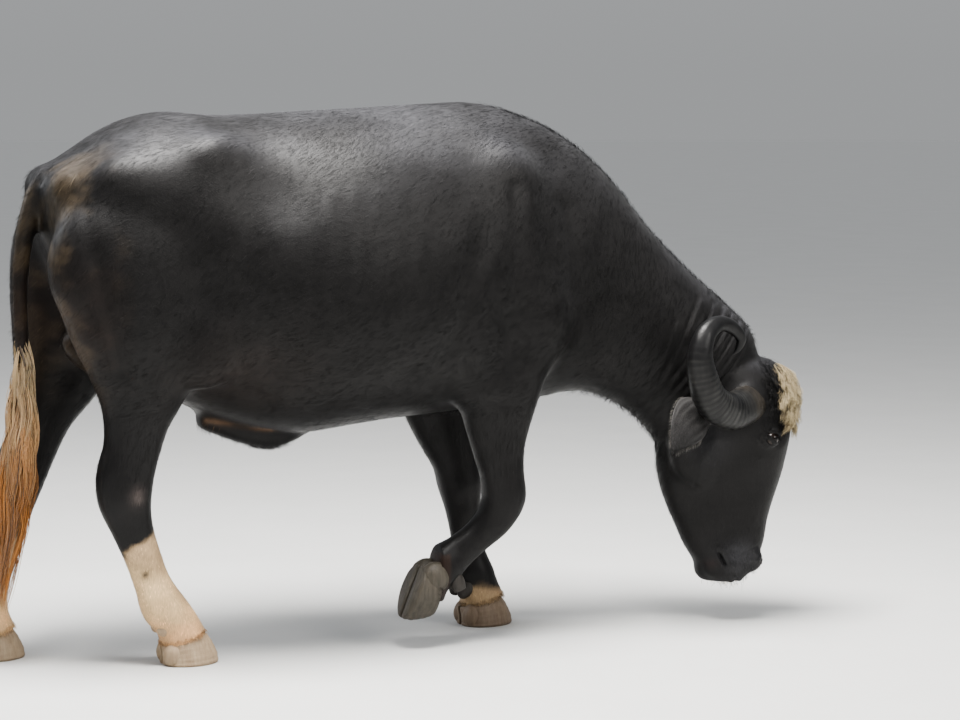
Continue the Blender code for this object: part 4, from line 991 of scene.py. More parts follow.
def earStations(side, steps):
    root, bend, _ = (inHead(side * o, f, d) for o, f, d in earSet["curve"][side])
    stalk = earSet["stalk"] / np.linalg.norm(2.0 * (bend - root))
    for t, half, depth, roll in fairRows([(r[0], 0, 0, *r) for r in earSet["rows"]], steps)[:, 3:]:
        centre, along = earLine(side, t * (1.0 + stalk) - stalk)
        along = along / np.linalg.norm(along)
        outer = np.array(earSet["back"][side])
        outer -= along * outer.dot(along)
        outer /= np.linalg.norm(outer)
        across = np.cross(along, outer) * side
        yield t, half, depth, roll, centre, along, outer, across


def earForm(side, halfCount=29):
    rings, colours = [], []
    for t, half, depth, roll, centre, _, outer, across in earStations(side, 10):
        wall = earSet["wall"] * (1.0 - 0.55 * t)
        spread = max(math.sin(min(roll, 1.57)), 0.6)
        innerHalf, innerDepth = max(half - wall, 0.002), max(depth - 2 * wall, -0.004)
        ring = []
        for reach, hollow, span in ((half, depth, 1.0), (innerHalf, innerDepth, -0.93)):
            for j in range(halfCount):
                share = 2.0 * j / (halfCount - 1) - 1.0
                a = span * roll * share
                wave = 0.0014 * math.sin(9.0 * t + 3.0 * a) * smoothStep(0.1, 0.3, t) * abs(share)
                ribs = 0.0012 * math.cos(7.0 * a) * smoothStep(0.15, 0.35, t) * smoothStep(0.95, 0.7, t)
                pleat = (0.0011 * math.cos(15.0 * a + 2.0 * t) * smoothStep(0.08, 0.25, t)
                         * smoothStep(0.85, 0.5, t))
                lift = wave + (ribs if span < 0 else pleat)
                # the tone rises on the pleats' crests and falls in their grooves: painted light and shade on
                # the folds of the back; inside, the same stripes run without folds under them
                streak = 0.78 + 0.40 * math.cos(15.0 * a + 2.0 * t) * (1.0 - t)
                edge = abs(share) ** 6
                tone = np.array(earSet["inside"] if span < 0 else earSet["outside"]) * streak
                colours.append(tone * (1.0 - 0.75 * t) * (1.0 + 0.5 * edge))
                ring.append(centre + across * reach * math.sin(a) / spread
                            + outer * (hollow * math.cos(a) + lift))
        rings.append(ring)
    points, faces = loftRings(rings, crescent=True)
    return turned(points), faces, np.array(colours)


def makeEarHair(side, skinMap, material):
    # pale hair round the rim, longer hair in the hollow and short hair on the back
    draw = np.random.default_rng(60 + side)
    stations = list(earStations(side, 10))
    paths, outs, widths, colours = [], [], [], []
    steps = 4
    t = np.linspace(0.0, 1.0, steps)[:, None]
    for kind, count in (("rim", 520), ("hollow", 320), ("back", 1500)):
        for _ in range(count):
            at = draw.uniform(0.16 if kind == "rim" else 0.05, 0.97)
            low = min(int(at * (len(stations) - 1)), len(stations) - 2)
            share = at * (len(stations) - 1) - low
            mixed = [a * (1 - share) + b * share for a, b in zip(stations[low][1:], stations[low + 1][1:])]
            half, depth, roll, centre, along, outer, across = mixed
            spread = max(math.sin(min(roll, 1.57)), 0.6)
            edge = draw.choice((-1.0, 1.0))
            reach = {"rim": edge, "hollow": draw.uniform(-0.8, 0.8), "back": draw.uniform(-0.97, 0.97)}[kind]
            a = roll * reach
            inset = 0.0 if kind != "hollow" else -2.2 * earSet["wall"] * (1.0 - 0.55 * at)
            root = centre + across * (half + 0.5 * inset) * math.sin(a) / spread
            root = root + outer * ((depth + inset) * math.cos(a))
            away = across * math.sin(a) / spread + outer * math.cos(a)
            away /= np.linalg.norm(away)
            if kind == "rim":
                heading = (across * edge * draw.uniform(0.4, 0.9) + along * draw.uniform(0.4, 0.9)
                           - outer * 0.35)
                length, width = draw.uniform(0.006, 0.013), draw.uniform(0.0005, 0.0008)
                tone = np.array(earSet["rimHair"]) * draw.uniform(0.25, 1.1)
            elif kind == "hollow":
                away = -away
                heading = along + away * 0.25 + across * draw.uniform(-0.3, 0.3)
                length, width = draw.uniform(0.010, 0.020), draw.uniform(0.0005, 0.0008)
                tone = np.array(earSet["rimHair"]) * draw.uniform(0.10, 0.6)
            else:
                heading = along + away * 0.06 + across * draw.uniform(-0.15, 0.15)
                length, width = draw.uniform(0.006, 0.010), draw.uniform(0.0005, 0.0008)
                # the back's short hair takes the back's pale grey, which is partly painted sheen
                tone = np.array(earSet["outside"]) * draw.uniform(0.3, 1.4) * (1.0 - 0.55 * at)
            heading = heading / np.linalg.norm(heading)
            droop = np.array([0.0, 0.0, -0.25 * length]) * t**2
            lift = away * (0.0 if kind == "rim" else 0.0004)
            paths.append(root + lift - heading * 0.0008 + heading * length * t + droop)
            outs.append(np.tile(away, (steps, 1)))
            widths.append(width * (1.0 - 0.75 * t[:, 0] ** 2))
            colours.append(tone)
    word = "Right" if side < 0 else "Left"
    return hairPiece("earHair" + word, paths, outs, widths, colours, material, skinMap)


# eyes: one ball with a raised cornea, coloured by where each point looks

def eyeForm(side):
    middle, out, along, up = eyeFrame(side)
    radius = eyeSet["radius"]
    columns, rows = 96, 64
    points, faces = [], []
    for j in range(1, rows):
        polar = math.pi * j / rows
        for i in range(columns):
            a = 2 * math.pi * i / columns
            ray = (out * math.cos(polar) + along * math.sin(polar) * math.cos(a)
                   + up * math.sin(polar) * math.sin(a))
            rise = eyeSet["cornea"] * float(smoothStep(0.62, 0.0, polar))
            points.append(middle + ray * (radius + rise))
    points += [middle + out * (radius + eyeSet["cornea"]), middle - out * radius]
    first, last = len(points) - 2, len(points) - 1
    for j in range(rows - 2):
        for i in range(columns):
            n = (i + 1) % columns
            faces.append((j * columns + i, j * columns + n, (j + 1) * columns + n, (j + 1) * columns + i))
    base = (rows - 2) * columns
    for i in range(columns):
        n = (i + 1) % columns
        faces += [(first, n, i), (last, base + i, base + n)]
    points = np.array(points)
    rel = (points - middle) / radius
    u, v, w = rel @ along, rel @ up, rel @ out
    spread = np.hypot(u, v)
    pupil = smoothStep(1.10, 0.85, np.sqrt((u / 0.34) ** 2 + (v / 0.17) ** 2))
    iris = smoothStep(0.66, 0.61, spread)
    brown = np.array(eyeSet["brown"])
    streaks = 0.75 + 0.5 * np.abs(np.sin(np.arctan2(v, u) * 23.0)) * smoothStep(0.2, 0.6, spread)
    white = np.array(eyeSet["white"])
    colour = white * (1 - iris[:, None]) + brown * streaks[:, None] * iris[:, None]
    colour = colour * (1 - pupil[:, None]) + 0.002 * pupil[:, None]
    colour[w < 0] = white
    return turned(points), faces, colour


# claws and dewclaws

def clawForm(foot, side, count=48):
    # height, length, width and set-back of each level, from the sole up to the coronet
    levels = [(0.0, 0.97, 0.97, 0.000), (0.03, 1.00, 1.00, 0.000), (0.18, 1.01, 1.01, 0.000),
              (0.53, 0.94, 0.96, -0.005), (0.82, 0.87, 0.91, -0.012), (1.0, 0.80, 0.85, -0.017)]
    fine = fairRows([(h, 0.0, 0.0, h, l, w, b) for h, l, w, b in levels], 7)[:, 3:]
    rings = []
    for height, long, wide, back in fine:
        growth = 1.0 + 0.006 * math.sin(height * hoofSet["rings"] * 2 * math.pi + 1.3 * side)
        ring = []
        for j in range(count):
            a = 2 * math.pi * j / count
            c, s = math.cos(a), math.sin(a)
            x = back + long * growth * hoofSet["length"] * 0.5 * rounded(c, 2.2) + 0.006 * long * max(c, 0.0)
            narrow = 1.0 - 0.34 * max(c, 0.0) ** 1.5
            y = 0.056 * wide * narrow * growth * rounded(s, 2.4) if s > 0 else 0.004 * wide * rounded(s, 2.4)
            y = side * (y + hoofSet["cleft"] + 0.004 * wide)
            lift = hoofSet["coronet"] + x * math.tan(hoofSet["slope"]) - gap
            z = height * lift
            chip = noise.noise(Vector((x * 60.0, y * 60.0, 2.0 + len(foot)))) * 0.0016
            if 0.0 < height < 0.25:
                y += side * chip
            ring.append((x, y, z))
        rings.append(ring)
    points, faces = loftRings(rings)
    place = footFrame(foot)
    return np.array([(place @ Vector(p))[:] for p in points]), faces


def dewclawForm(foot, side):
    rows = []
    for t, radius in ((-0.022, 0.016), (-0.004, 0.020), (0.014, 0.017), (0.025, 0.010), (0.028, 0.004)):
        place = footFrame(foot) @ Vector((-0.060 - t * 0.75, side * 0.029, 0.100 - t * 0.75))
        rows.append((*place, radius, radius * 0.8, 2.0))
    return tubeForm(fairRows(rows, 5), 24)


heelSet = {
    # back and up from the middle of the sole, out, and the radii
    "standing": (-0.047, 0.030, 0.030, (0.024, 0.028, 0.032)),
    "lifted": (-0.050, 0.038, 0.031, (0.042, 0.031, 0.040)),
}


def heelForm(foot):
    # the two soft bulbs behind the claws
    back, high, out, radii = heelSet["lifted" if foot == "fore_right" else "standing"]
    place = footFrame(foot)
    forms = []
    for side in (-1, 1):
        points, faces = ballForm((back, side * out, high), radii, 0.25, 0.0, 4)
        points[:, 2] = np.maximum(points[:, 2], 0.0015)
        uneven = np.array([noise.noise(Vector(p * 55.0)) for p in points])[:, None]
        points += 0.0008 * uneven * (points - (back, side * out, high)) / radii[0]
        points[:, 2] = np.maximum(points[:, 2], 0.0010)
        forms.append((np.array([(place @ Vector(p))[:] for p in points]), faces))
    return joinForms(forms)


coronetHairs = 420       # round each foot


def makeCoronetHair(skinTree, skinMap, material):
    # a short fringe that hangs over the top of every hoof
    draw = np.random.default_rng(71)
    paths, outs, widths, colours = [], [], [], []
    steps = 4
    for foot in feet:
        place = footFrame(foot)
        down = np.array((place.to_3x3() @ Vector((0.05, 0.0, -1.0)))[:])
        roots, normals = [], []
        for _ in range(coronetHairs):
            a = draw.uniform(0, 2 * math.pi)
            ahead = 0.062 * math.cos(a)
            high = hoofSet["coronet"] + ahead * math.tan(hoofSet["slope"]) + draw.uniform(0.000, 0.012)
            spot = place @ Vector((ahead - 0.010, 0.062 * math.sin(a), high))
            hit, normal, _, _ = skinTree.find_nearest(spot)
            roots.append(hit[:])
            normals.append(normal[:])
        roots, normals = np.array(roots), np.array(normals)
        lie = tangent(np.tile(down, (len(roots), 1)) + draw.normal(0, 0.18, (len(roots), 3)), normals)
        length = draw.uniform(0.008, 0.017, len(roots))
        made = combed(roots, normals, lie, length, draw.uniform(0.10, 0.35, len(roots)), steps)
        paths.append(made)
        outs.append(np.repeat(normals[:, None], steps, axis=1))
        wide = draw.uniform(0.0007, 0.0011, len(roots))
        widths.append(wide[:, None] * (1 - 0.75 * np.linspace(0, 1, steps) ** 2))
        colours.append(markingsAndSheen(roots, normals[:, 2]) * draw.uniform(0.6, 1.25, (len(roots), 1)))
    paths = np.concatenate(paths)
    paths[:, :, 2] = np.maximum(paths[:, :, 2], 0.004)
    return hairPiece("coronetHair", paths, np.concatenate(outs), np.concatenate(widths),
                     np.concatenate(colours), material, skinMap)


def makeLashes(skinMap, material):
    draw = np.random.default_rng(72)
    steps = 5
    t = np.linspace(0.0, 1.0, steps)[:, None]
    paths, outs, widths = [], [], []
    for side in (-1, 1):
        middle, out, along, up = eyeFrame(side)
        reach = eyeSet["radius"] + eyeSet["lid"]
        for lid, count in ((1.0, 60), (-0.72, 26)):
            for _ in range(count):
                share = draw.uniform(-0.9, 0.85)
                u = share * eyeSet["openLong"]
                v = lid * (eyeSet["openTall"] * (1.0 - abs(share) ** 2.2) + 0.0012)
                ray = along * u + up * v
                ray = ray / eyeSet["radius"] + out
                ray /= np.linalg.norm(ray)
                heading = (out * 0.8 + up * lid * draw.uniform(0.5, 0.9)
                           + along * (0.5 * share + draw.normal(0, 0.1)))
                heading /= np.linalg.norm(heading)
                length = draw.uniform(0.006, 0.011) * (1.0 if lid > 0 else 0.6)
                bend = np.array([0.0, 0.0, -0.45 * length]) * t**2
                paths.append(middle + ray * (reach - 0.0006) + heading * length * t + bend)
                outs.append(np.tile(ray, (steps, 1)))
                widths.append(0.0006 * (1.0 - 0.7 * t[:, 0] ** 2))
    colours = np.full((len(paths), 3), 0.012)
    return hairPiece("lashes", paths, outs, widths, colours, material, skinMap)


# hair: tapered, closed strands of three sides

def strandMesh(paths, outs, widths, thick):
    # paths and outs: strands, stations, 3; widths: strands, stations; the last station is a tip
    count, steps = widths.shape
    heading = np.gradient(paths, axis=1)
    heading /= np.linalg.norm(heading, axis=2, keepdims=True) + 1e-12
    across = np.cross(heading, outs)
    across /= np.linalg.norm(across, axis=2, keepdims=True) + 1e-12
    up = np.cross(across, heading)
    half = widths[:, :, None] * 0.5
    rise = widths[:, :, None] * thick
    rings = np.stack([paths - across * half, paths + across * half, paths + up * rise], axis=2)
    body = rings[:, :-1].reshape(count, (steps - 1) * 3, 3)
    points = np.concatenate([body, paths[:, -1:, :]], axis=1)
    each = (steps - 1) * 3 + 1
    one = [(0, 1, 2)]
    for k in range(steps - 2):
        for j in range(3):
            n = (j + 1) % 3
            a, b = k * 3 + j, k * 3 + n
            one += [(a, a + 3, b + 3), (a, b + 3, b)]
    last = (steps - 2) * 3
    one += [(last + j, each - 1, last + (j + 1) % 3) for j in range(3)]
    one = np.array(one)
    faces = (one[None] + (np.arange(count) * each)[:, None, None]).reshape(-1, 3)
    along = np.concatenate([np.repeat(np.arange(steps - 1) / (steps - 1.0), 3), [1.0]])
    return points.reshape(-1, 3), faces, np.tile(along, count), each


def triangleMesh(name, points, faces):
    mesh = bpy.data.meshes.new(name)
    mesh.vertices.add(len(points))
    mesh.vertices.foreach_set("co", np.asarray(points, np.float32).ravel())
    mesh.loops.add(len(faces) * 3)
    mesh.loops.foreach_set("vertex_index", faces.astype(np.int32).ravel())
    mesh.polygons.add(len(faces))
    mesh.polygons.foreach_set("loop_start", np.arange(0, len(faces) * 3, 3, dtype=np.int32))
    mesh.polygons.foreach_set("use_smooth", np.ones(len(faces), dtype=bool))
    mesh.update(calc_edges=True)
    piece = bpy.data.objects.new(name, mesh)
    bpy.context.scene.collection.objects.link(piece)
    return piece


def paint(mesh, name, colours):
    layer = mesh.color_attributes.new(name, "FLOAT_COLOR", "POINT")
    full = np.ones((len(colours), 4), np.float32)
    full[:, :3] = colours
    layer.data.foreach_set("color", full.ravel())


# markings and painted sheen: one function of place and facing for the skin and for every hair that grows on
# it

markSet = {
    "black": (0.0085, 0.0080, 0.0080),
    # grey for dust and, on the trunk's upward-facing parts, painted sheen; also the muzzle's grey and the
    # cheek's painted highlight
    "dust": (0.046, 0.046, 0.050),
    "brown": (0.030, 0.015, 0.009),
    "ochre": (0.085, 0.062, 0.036),
    "sock": (0.645, 0.475, 0.275),
    "sockShade": (0.340, 0.205, 0.125),
    "sockTop": (0.350, 0.250, 0.155),
    "sockWarm": (0.500, 0.285, 0.145),
    "ginger": (0.150, 0.090, 0.052),
    "chin": (0.070, 0.034, 0.030),
    "bare": (0.055, 0.045, 0.042),
    "tan": (0.200, 0.115, 0.062),
}


def noiseAt(points, scale, seed):
    # cheap, smooth, repeatable noise between about -1 and 1, from a few turned waves
    draw = np.random.default_rng(seed)
    total = np.zeros(len(points))
    for octave in range(4):
        for _ in range(3):
            wave = draw.normal(size=3)
            wave *= scale * 2.0 ** octave / np.linalg.norm(wave)
            total += np.sin(points @ wave + draw.uniform(0, 6.28)) / (3.0 * 1.7 ** octave)
    return np.clip(total, -1.0, 1.0)


def blendTo(colour, other, share):
    return colour * (1.0 - share[:, None]) + np.asarray(other) * share[:, None]


def oval(x, z, middle, reach):
    # 1 in the middle of an oval patch seen from the side, fading outwards
    return np.exp(-(((x - middle[0]) / reach[0]) ** 2 + ((z - middle[1]) / reach[1]) ** 2))


def markingsAndSheen(points, up):
    x, y, z = points.T
    rough = noiseAt(points, 14.0, 5)
    fine = noiseAt(points, 60.0, 6)
    colour = np.tile(np.asarray(markSet["black"]), (len(points), 1))
    # painted sheen: the trunk's upward-facing parts are paled towards a grey that is partly real dust and
    # partly painted sky sheen
    trunk = smoothStep(0.55, 0.75, z)
    dust = smoothStep(0.25, 0.95, up) * trunk * (0.55 + 0.35 * rough)
    colour = blendTo(colour, markSet["dust"], np.clip(dust, 0, 1))
    rear = smoothStep(-0.98, -1.10, x) * smoothStep(0.60, 0.80, z)
    rear = rear * smoothStep(-0.25, 0.45, rough + 0.3 * fine)
    colour = blendTo(colour, markSet["ochre"], 0.40 * rear)
    buttock = np.exp(-((z - 0.86) / 0.13) ** 2) * smoothStep(-0.98, -1.08, x)
    colour = blendTo(colour, markSet["brown"], 0.55 * buttock * (0.6 + 0.4 * rough))
    flank = oval(x, z, (-0.72, 0.72), (0.16, 0.09))
    colour = blendTo(colour, markSet["brown"], 0.20 * flank)
    lip = oval(x, z, (headAxisX + 0.020, pollZ - 0.530), (0.055, 0.045)) * (x > 0.50)
    colour = blendTo(colour, markSet["dust"], 0.75 * np.clip(lip * (0.75 + 0.35 * fine), 0, 1))
    # a paler patch on the cheek over the jaw muscle: a painted highlight
    paintedCheekHighlight = oval(x, z, (headAxisX - 0.080, pollZ - 0.215), (0.050, 0.060)) * (x > 0.50)
    colour = blendTo(colour, markSet["dust"], 0.45 * np.clip(paintedCheekHighlight * (0.75 + 0.35 * fine), 0, 1))
    hind = x < -0.70
    slope = np.where(y < 0, 0.64 * (x + 0.945), 0.50 * (x + 1.220))
    edge = 0.300 + slope + 0.012 * noiseAt(points, 40.0, 7) + 0.010 * fine
    sock = smoothStep(edge + 0.010, edge - 0.012, z) * hind
    shade = np.clip(0.35 + 0.5 * rough + 0.3 * smoothStep(0.12, 0.07, z), 0, 1)
    socks = np.tile(np.asarray(markSet["sock"]), (len(points), 1))
    socks = blendTo(socks, markSet["sockShade"], 0.45 * shade)
    socks = blendTo(socks, markSet["sockTop"], 0.75 * smoothStep(0.17, 0.29, z + 0.02 * rough))
    warm = smoothStep(0.19, 0.08, z) * np.clip(0.45 + 0.6 * rough + 0.5 * fine, 0, 1)
    socks = blendTo(socks, markSet["sockWarm"], 0.65 * warm)
    colour = colour * (1 - sock[:, None]) + socks * sock[:, None]
    spot = oval(x, z, (-0.939, 0.233), (0.008, 0.009)) * (y < -0.12)
    colour = blendTo(colour, markSet["black"], 0.95 * np.clip(spot, 0, 1))
    bare = oval(x, z, (-0.961, 0.428), (0.020, 0.024)) * (y < -0.10)
    colour = blendTo(colour, markSet["bare"], 0.9 * np.clip(bare * (0.8 + 0.5 * fine), 0, 1))
    sheathLine = [(-0.745, 0.0, 0.590), (-0.66, 0.0, 0.572), (-0.585, 0.0, 0.566)]
    streak, _ = pathDistance(points * (1.0, 0.0, 1.0), sheathLine)
    under = (np.abs(y) < 0.09) * (np.abs(y) > 0.018) * (z < 0.62)
    patchy = np.clip(0.55 + 0.45 * noiseAt(points, 70.0, 8), 0, 1)
    colour = blendTo(colour, markSet["tan"], 0.80 * np.exp(-(streak / 0.007) ** 2) * under * patchy)
    front = (x > -0.10) & (y > 0)
    band = smoothStep(0.118, 0.092, z + 0.012 * fine + 0.008 * rough) * front
    colour = blendTo(colour, markSet["ginger"], 0.80 * band)
    colour = blendTo(colour, markSet["sock"], 0.45 * band * np.clip(0.6 + 0.6 * rough, 0, 1))
    foot = (x < -0.15) & (x > -0.35) & (z < 0.24)
    colour = blendTo(colour, markSet["brown"], 0.5 * foot)
    chin = oval(x, z, (headAxisX - 0.052, pollZ - 0.545), (0.016, 0.012))
    colour = blendTo(colour, markSet["chin"], 0.15 * chin * (np.abs(y) > 0.02))
    return colour * (1.0 + 0.18 * fine)[:, None]


# materials

def newMaterial(name, roughness, specular=0.5):
    made = bpy.data.materials.new(name)
    made.use_nodes = True
    shader = made.node_tree.nodes["Principled BSDF"]
    shader.inputs["Roughness"].default_value = roughness
    shader.inputs["Specular IOR Level"].default_value = specular
    return made, made.node_tree, shader


def addNode(tree, kind, **values):
    made = tree.nodes.new(kind)
    for key, value in values.items():
        if hasattr(made, key):
            setattr(made, key, value)
        else:
            made.inputs[key].default_value = value
    return made


def objectPlace(tree, scale=(1.0, 1.0, 1.0), turn=(0.0, 0.0, 0.0)):
    place = addNode(tree, "ShaderNodeTexCoord")
    last = place.outputs["Object"]
    if any(turn):
        turning = addNode(tree, "ShaderNodeMapping", Rotation=turn)
        tree.links.new(last, turning.inputs["Vector"])
        last = turning.outputs["Vector"]
    mapping = addNode(tree, "ShaderNodeMapping", Scale=scale)
    tree.links.new(last, mapping.inputs["Vector"])
    return mapping.outputs["Vector"]


def noiseNode(tree, vector, scale, detail=4.0, rough=0.55):
    made = addNode(tree, "ShaderNodeTexNoise", Scale=scale, Detail=detail, Roughness=rough)
    tree.links.new(vector, made.inputs["Vector"])
    return made.outputs["Fac"]


def rampNode(tree, factor, low, high, places=(0.0, 1.0)):
    made = addNode(tree, "ShaderNodeValToRGB")
    for element, colour, place in zip(made.color_ramp.elements, (low, high), places):
        element.color = (*colour, 1.0)
        element.position = place
    tree.links.new(factor, made.inputs["Fac"])
    return made.outputs["Color"]


def bumpChain(tree, shader, layers):
    # layers of (height socket, strength, distance), the broadest first
    last = None
    for height, strength, distance in layers:
        bump = addNode(tree, "ShaderNodeBump", Strength=strength, Distance=distance)
        tree.links.new(height, bump.inputs["Height"])
        if last is not None:
            tree.links.new(last, bump.inputs["Normal"])
        last = bump.outputs["Normal"]
    tree.links.new(last, shader.inputs["Normal"])


def tinted(tree, base, factor, low, high):
    # base colour times a grey that runs from low to high with the factor
    spread = addNode(tree, "ShaderNodeMapRange")
    spread.inputs["To Min"].default_value = low
    spread.inputs["To Max"].default_value = high
    tree.links.new(factor, spread.inputs["Value"])
    scaled = addNode(tree, "ShaderNodeVectorMath", operation="SCALE")
    tree.links.new(base, scaled.inputs[0])
    tree.links.new(spread.outputs["Result"], scaled.inputs["Scale"])
    return scaled.outputs["Vector"]


def hideMaterial():
    made, tree, shader = newMaterial("buffaloHide", 0.45, 0.21)
    marks = addNode(tree, "ShaderNodeAttribute", attribute_name="marks").outputs["Color"]
    place = objectPlace(tree)
    # short hair lies back and down on the trunk, and straight down on head and legs
    slant = objectPlace(tree, (0.10, 1.0, 1.0), (0.0, math.radians(-37.0), 0.0))
    upright = objectPlace(tree, (1.0, 1.0, 0.10))
    height = addNode(tree, "ShaderNodeSeparateXYZ")
    tree.links.new(place, height.inputs["Vector"])
    low = addNode(tree, "ShaderNodeMapRange")
    low.inputs["From Min"].default_value = 0.60
    low.inputs["From Max"].default_value = 0.78
    tree.links.new(height.outputs["Z"], low.inputs["Value"])
    hairs = addNode(tree, "ShaderNodeMix", data_type="FLOAT")
    tree.links.new(low.outputs["Result"], hairs.inputs["Factor"])
    tree.links.new(noiseNode(tree, upright, 520.0, 3.0), hairs.inputs["A"])
    tree.links.new(noiseNode(tree, slant, 520.0, 3.0), hairs.inputs["B"])
    strands = hairs.outputs["Result"]
    blotch = noiseNode(tree, place, 22.0, 5.0)
    streaked = tinted(tree, tinted(tree, marks, blotch, 0.80, 1.20), strands, 0.55, 1.45)
    tree.links.new(streaked, shader.inputs["Base Color"])
    # a wet muzzle shines, the rest is satin
    wet = addNode(tree, "ShaderNodeAttribute", attribute_name="wet")
    gloss = addNode(tree, "ShaderNodeMapRange")
    gloss.inputs["To Min"].default_value = 0.44
    gloss.inputs["To Max"].default_value = 0.22
    tree.links.new(wet.outputs["Fac"], gloss.inputs["Value"])
    tree.links.new(gloss.outputs["Result"], shader.inputs["Roughness"])
    cells = addNode(tree, "ShaderNodeTexVoronoi", feature="DISTANCE_TO_EDGE")
    cells.inputs["Scale"].default_value = 190.0
    tree.links.new(place, cells.inputs["Vector"])
    bumpChain(tree, shader, [(noiseNode(tree, place, 30.0, 4.0), 0.14, 0.004),
                             (cells.outputs["Distance"], 0.22, 0.0010),
                             (strands, 0.50, 0.0010)])
    shader.inputs["Sheen Weight"].default_value = 0.03
    shader.inputs["Sheen Roughness"].default_value = 0.45
    return made


def hairMaterial(name, roughness, tipLift, sheen=0.0, specular=0.21):
    made, tree, shader = newMaterial(name, roughness, specular)
    marks = addNode(tree, "ShaderNodeAttribute", attribute_name="marks").outputs["Color"]
    along = addNode(tree, "ShaderNodeAttribute", attribute_name="strand")
    parts = addNode(tree, "ShaderNodeSeparateColor")
    tree.links.new(along.outputs["Color"], parts.inputs["Color"])
    shaded = tinted(tree, marks, parts.outputs["Red"], 0.80, tipLift)
    place = objectPlace(tree)
    tree.links.new(tinted(tree, shaded, noiseNode(tree, place, 900.0, 2.0), 0.85, 1.15),
                   shader.inputs["Base Color"])
    shader.inputs["Sheen Weight"].default_value = sheen
    return made


def hornMaterial():
    made, tree, shader = newMaterial("hornSheath", 0.38, 0.30)
    place = objectPlace(tree)
    stretch = objectPlace(tree, (1.0, 1.0, 0.25))
    wear = rampNode(tree, noiseNode(tree, stretch, 60.0, 6.0, 0.65), (0.70, 0.70, 0.70), (1.40, 1.38, 1.34),
                    (0.32, 0.75))
    marks = addNode(tree, "ShaderNodeAttribute", attribute_name="marks").outputs["Color"]
    mix = addNode(tree, "ShaderNodeMix", data_type="RGBA", blend_type="MULTIPLY")
    mix.inputs["Factor"].default_value = 1.0
    tree.links.new(wear, mix.inputs["A"])
    tree.links.new(marks, mix.inputs["B"])
    tree.links.new(mix.outputs["Result"], shader.inputs["Base Color"])
    bumpChain(tree, shader, [(noiseNode(tree, place, 140.0, 5.0), 0.35, 0.0015),
                             (noiseNode(tree, stretch, 700.0, 3.0), 0.35, 0.0006)])
    return made


def hoofMaterial(name, dark, light):
    made, tree, shader = newMaterial(name, 0.55, 0.4)
    tall = objectPlace(tree, (1.0, 1.0, 0.12))
    flat = objectPlace(tree, (0.2, 0.2, 1.0))
    grain = rampNode(tree, noiseNode(tree, tall, 120.0, 6.0, 0.65), dark, light, (0.30, 0.72))
    tree.links.new(grain, shader.inputs["Base Color"])
    bumpChain(tree, shader, [(noiseNode(tree, flat, 130.0, 4.0), 0.45, 0.0022),
                             (noiseNode(tree, tall, 420.0, 3.0), 0.40, 0.0008)])
    return made


def eyeMaterial():
    made, tree, shader = newMaterial("wetEye", 0.14, 0.25)
    marks = addNode(tree, "ShaderNodeAttribute", attribute_name="marks").outputs["Color"]
    place = objectPlace(tree)
    tree.links.new(tinted(tree, marks, noiseNode(tree, place, 900.0, 3.0), 0.85, 1.15),
                   shader.inputs["Base Color"])
    shader.inputs["Coat Weight"].default_value = 0.15
    shader.inputs["Coat Roughness"].default_value = 0.03
    return made


def floorMaterial():
    made, tree, shader = newMaterial("studioFloor", 0.85, 0.2)
    place = objectPlace(tree)
    paint = rampNode(tree, noiseNode(tree, place, 3.0, 5.0), (0.58, 0.58, 0.57), (0.63, 0.63, 0.62))
    tree.links.new(paint, shader.inputs["Base Color"])
    return made


# studio

def makeStudio():
    mesh = bpy.data.meshes.new("studioFloor")
    form = bmesh.new()
    bmesh.ops.create_grid(form, x_segments=4, y_segments=4, size=120.0)
    form.to_mesh(mesh)
    form.free()
    floor = bpy.data.objects.new("studioFloor", mesh)
    bpy.context.scene.collection.objects.link(floor)
    mesh.materials.append(floorMaterial())
    world = bpy.data.worlds.new("studioWorld")
    world.use_nodes = True
    sky = world.node_tree.nodes["Background"]
    sky.inputs["Strength"].default_value = 0.58
    bpy.context.scene.world = world
    bpy.context.scene.view_settings.look = "AgX - Medium High Contrast"
    # the sky darkens to the far floor's own grey at the horizon
    nodes = world.node_tree
    height = addNode(nodes, "ShaderNodeSeparateXYZ")
    nodes.links.new(addNode(nodes, "ShaderNodeTexCoord").outputs["Generated"], height.inputs["Vector"])
    dome = rampNode(nodes, height.outputs["Z"], (0.56, 0.57, 0.58), (0.90, 0.92, 0.95), (0.0, 0.45))
    nodes.links.new(dome, sky.inputs["Color"])
    lamps = {
        # place, aim, size, watts, colour
        "topSoft": ((-0.4, -0.8, 4.4), (0.0, 0.0, 0.9), 2.2, 610.0, (1.0, 0.98, 0.95)),
        "frontSoft": ((3.0, -5.0, 3.6), (0.2, 0.0, 0.7), 2.0, 130.0, (1.0, 0.97, 0.93)),
        "rearSoft": ((-4.6, 2.6, 3.4), (-0.6, 0.0, 0.9), 2.4, 120.0, (0.93, 0.96, 1.0)),
    }
    for name, (place, aim, size, watts, colour) in lamps.items():
        lamp = bpy.data.lights.new(name, "AREA")
        lamp.size = size
        lamp.energy = watts
        lamp.color = colour
        holder = bpy.data.objects.new(name, lamp)
        holder.location = place
        holder.rotation_euler = (Vector(aim) - Vector(place)).to_track_quat("-Z", "Y").to_euler()
        bpy.context.scene.collection.objects.link(holder)


# the coat

coatSet = {
    "seed": 21,
    "tufts": 82000,
    "pieceTufts": 18000,     # tufts in one mesh
    "length": {"body": 0.028, "head": 0.0090, "lowLegs": 0.0120},
    "width": {"body": 0.0010, "head": 0.0007},
}


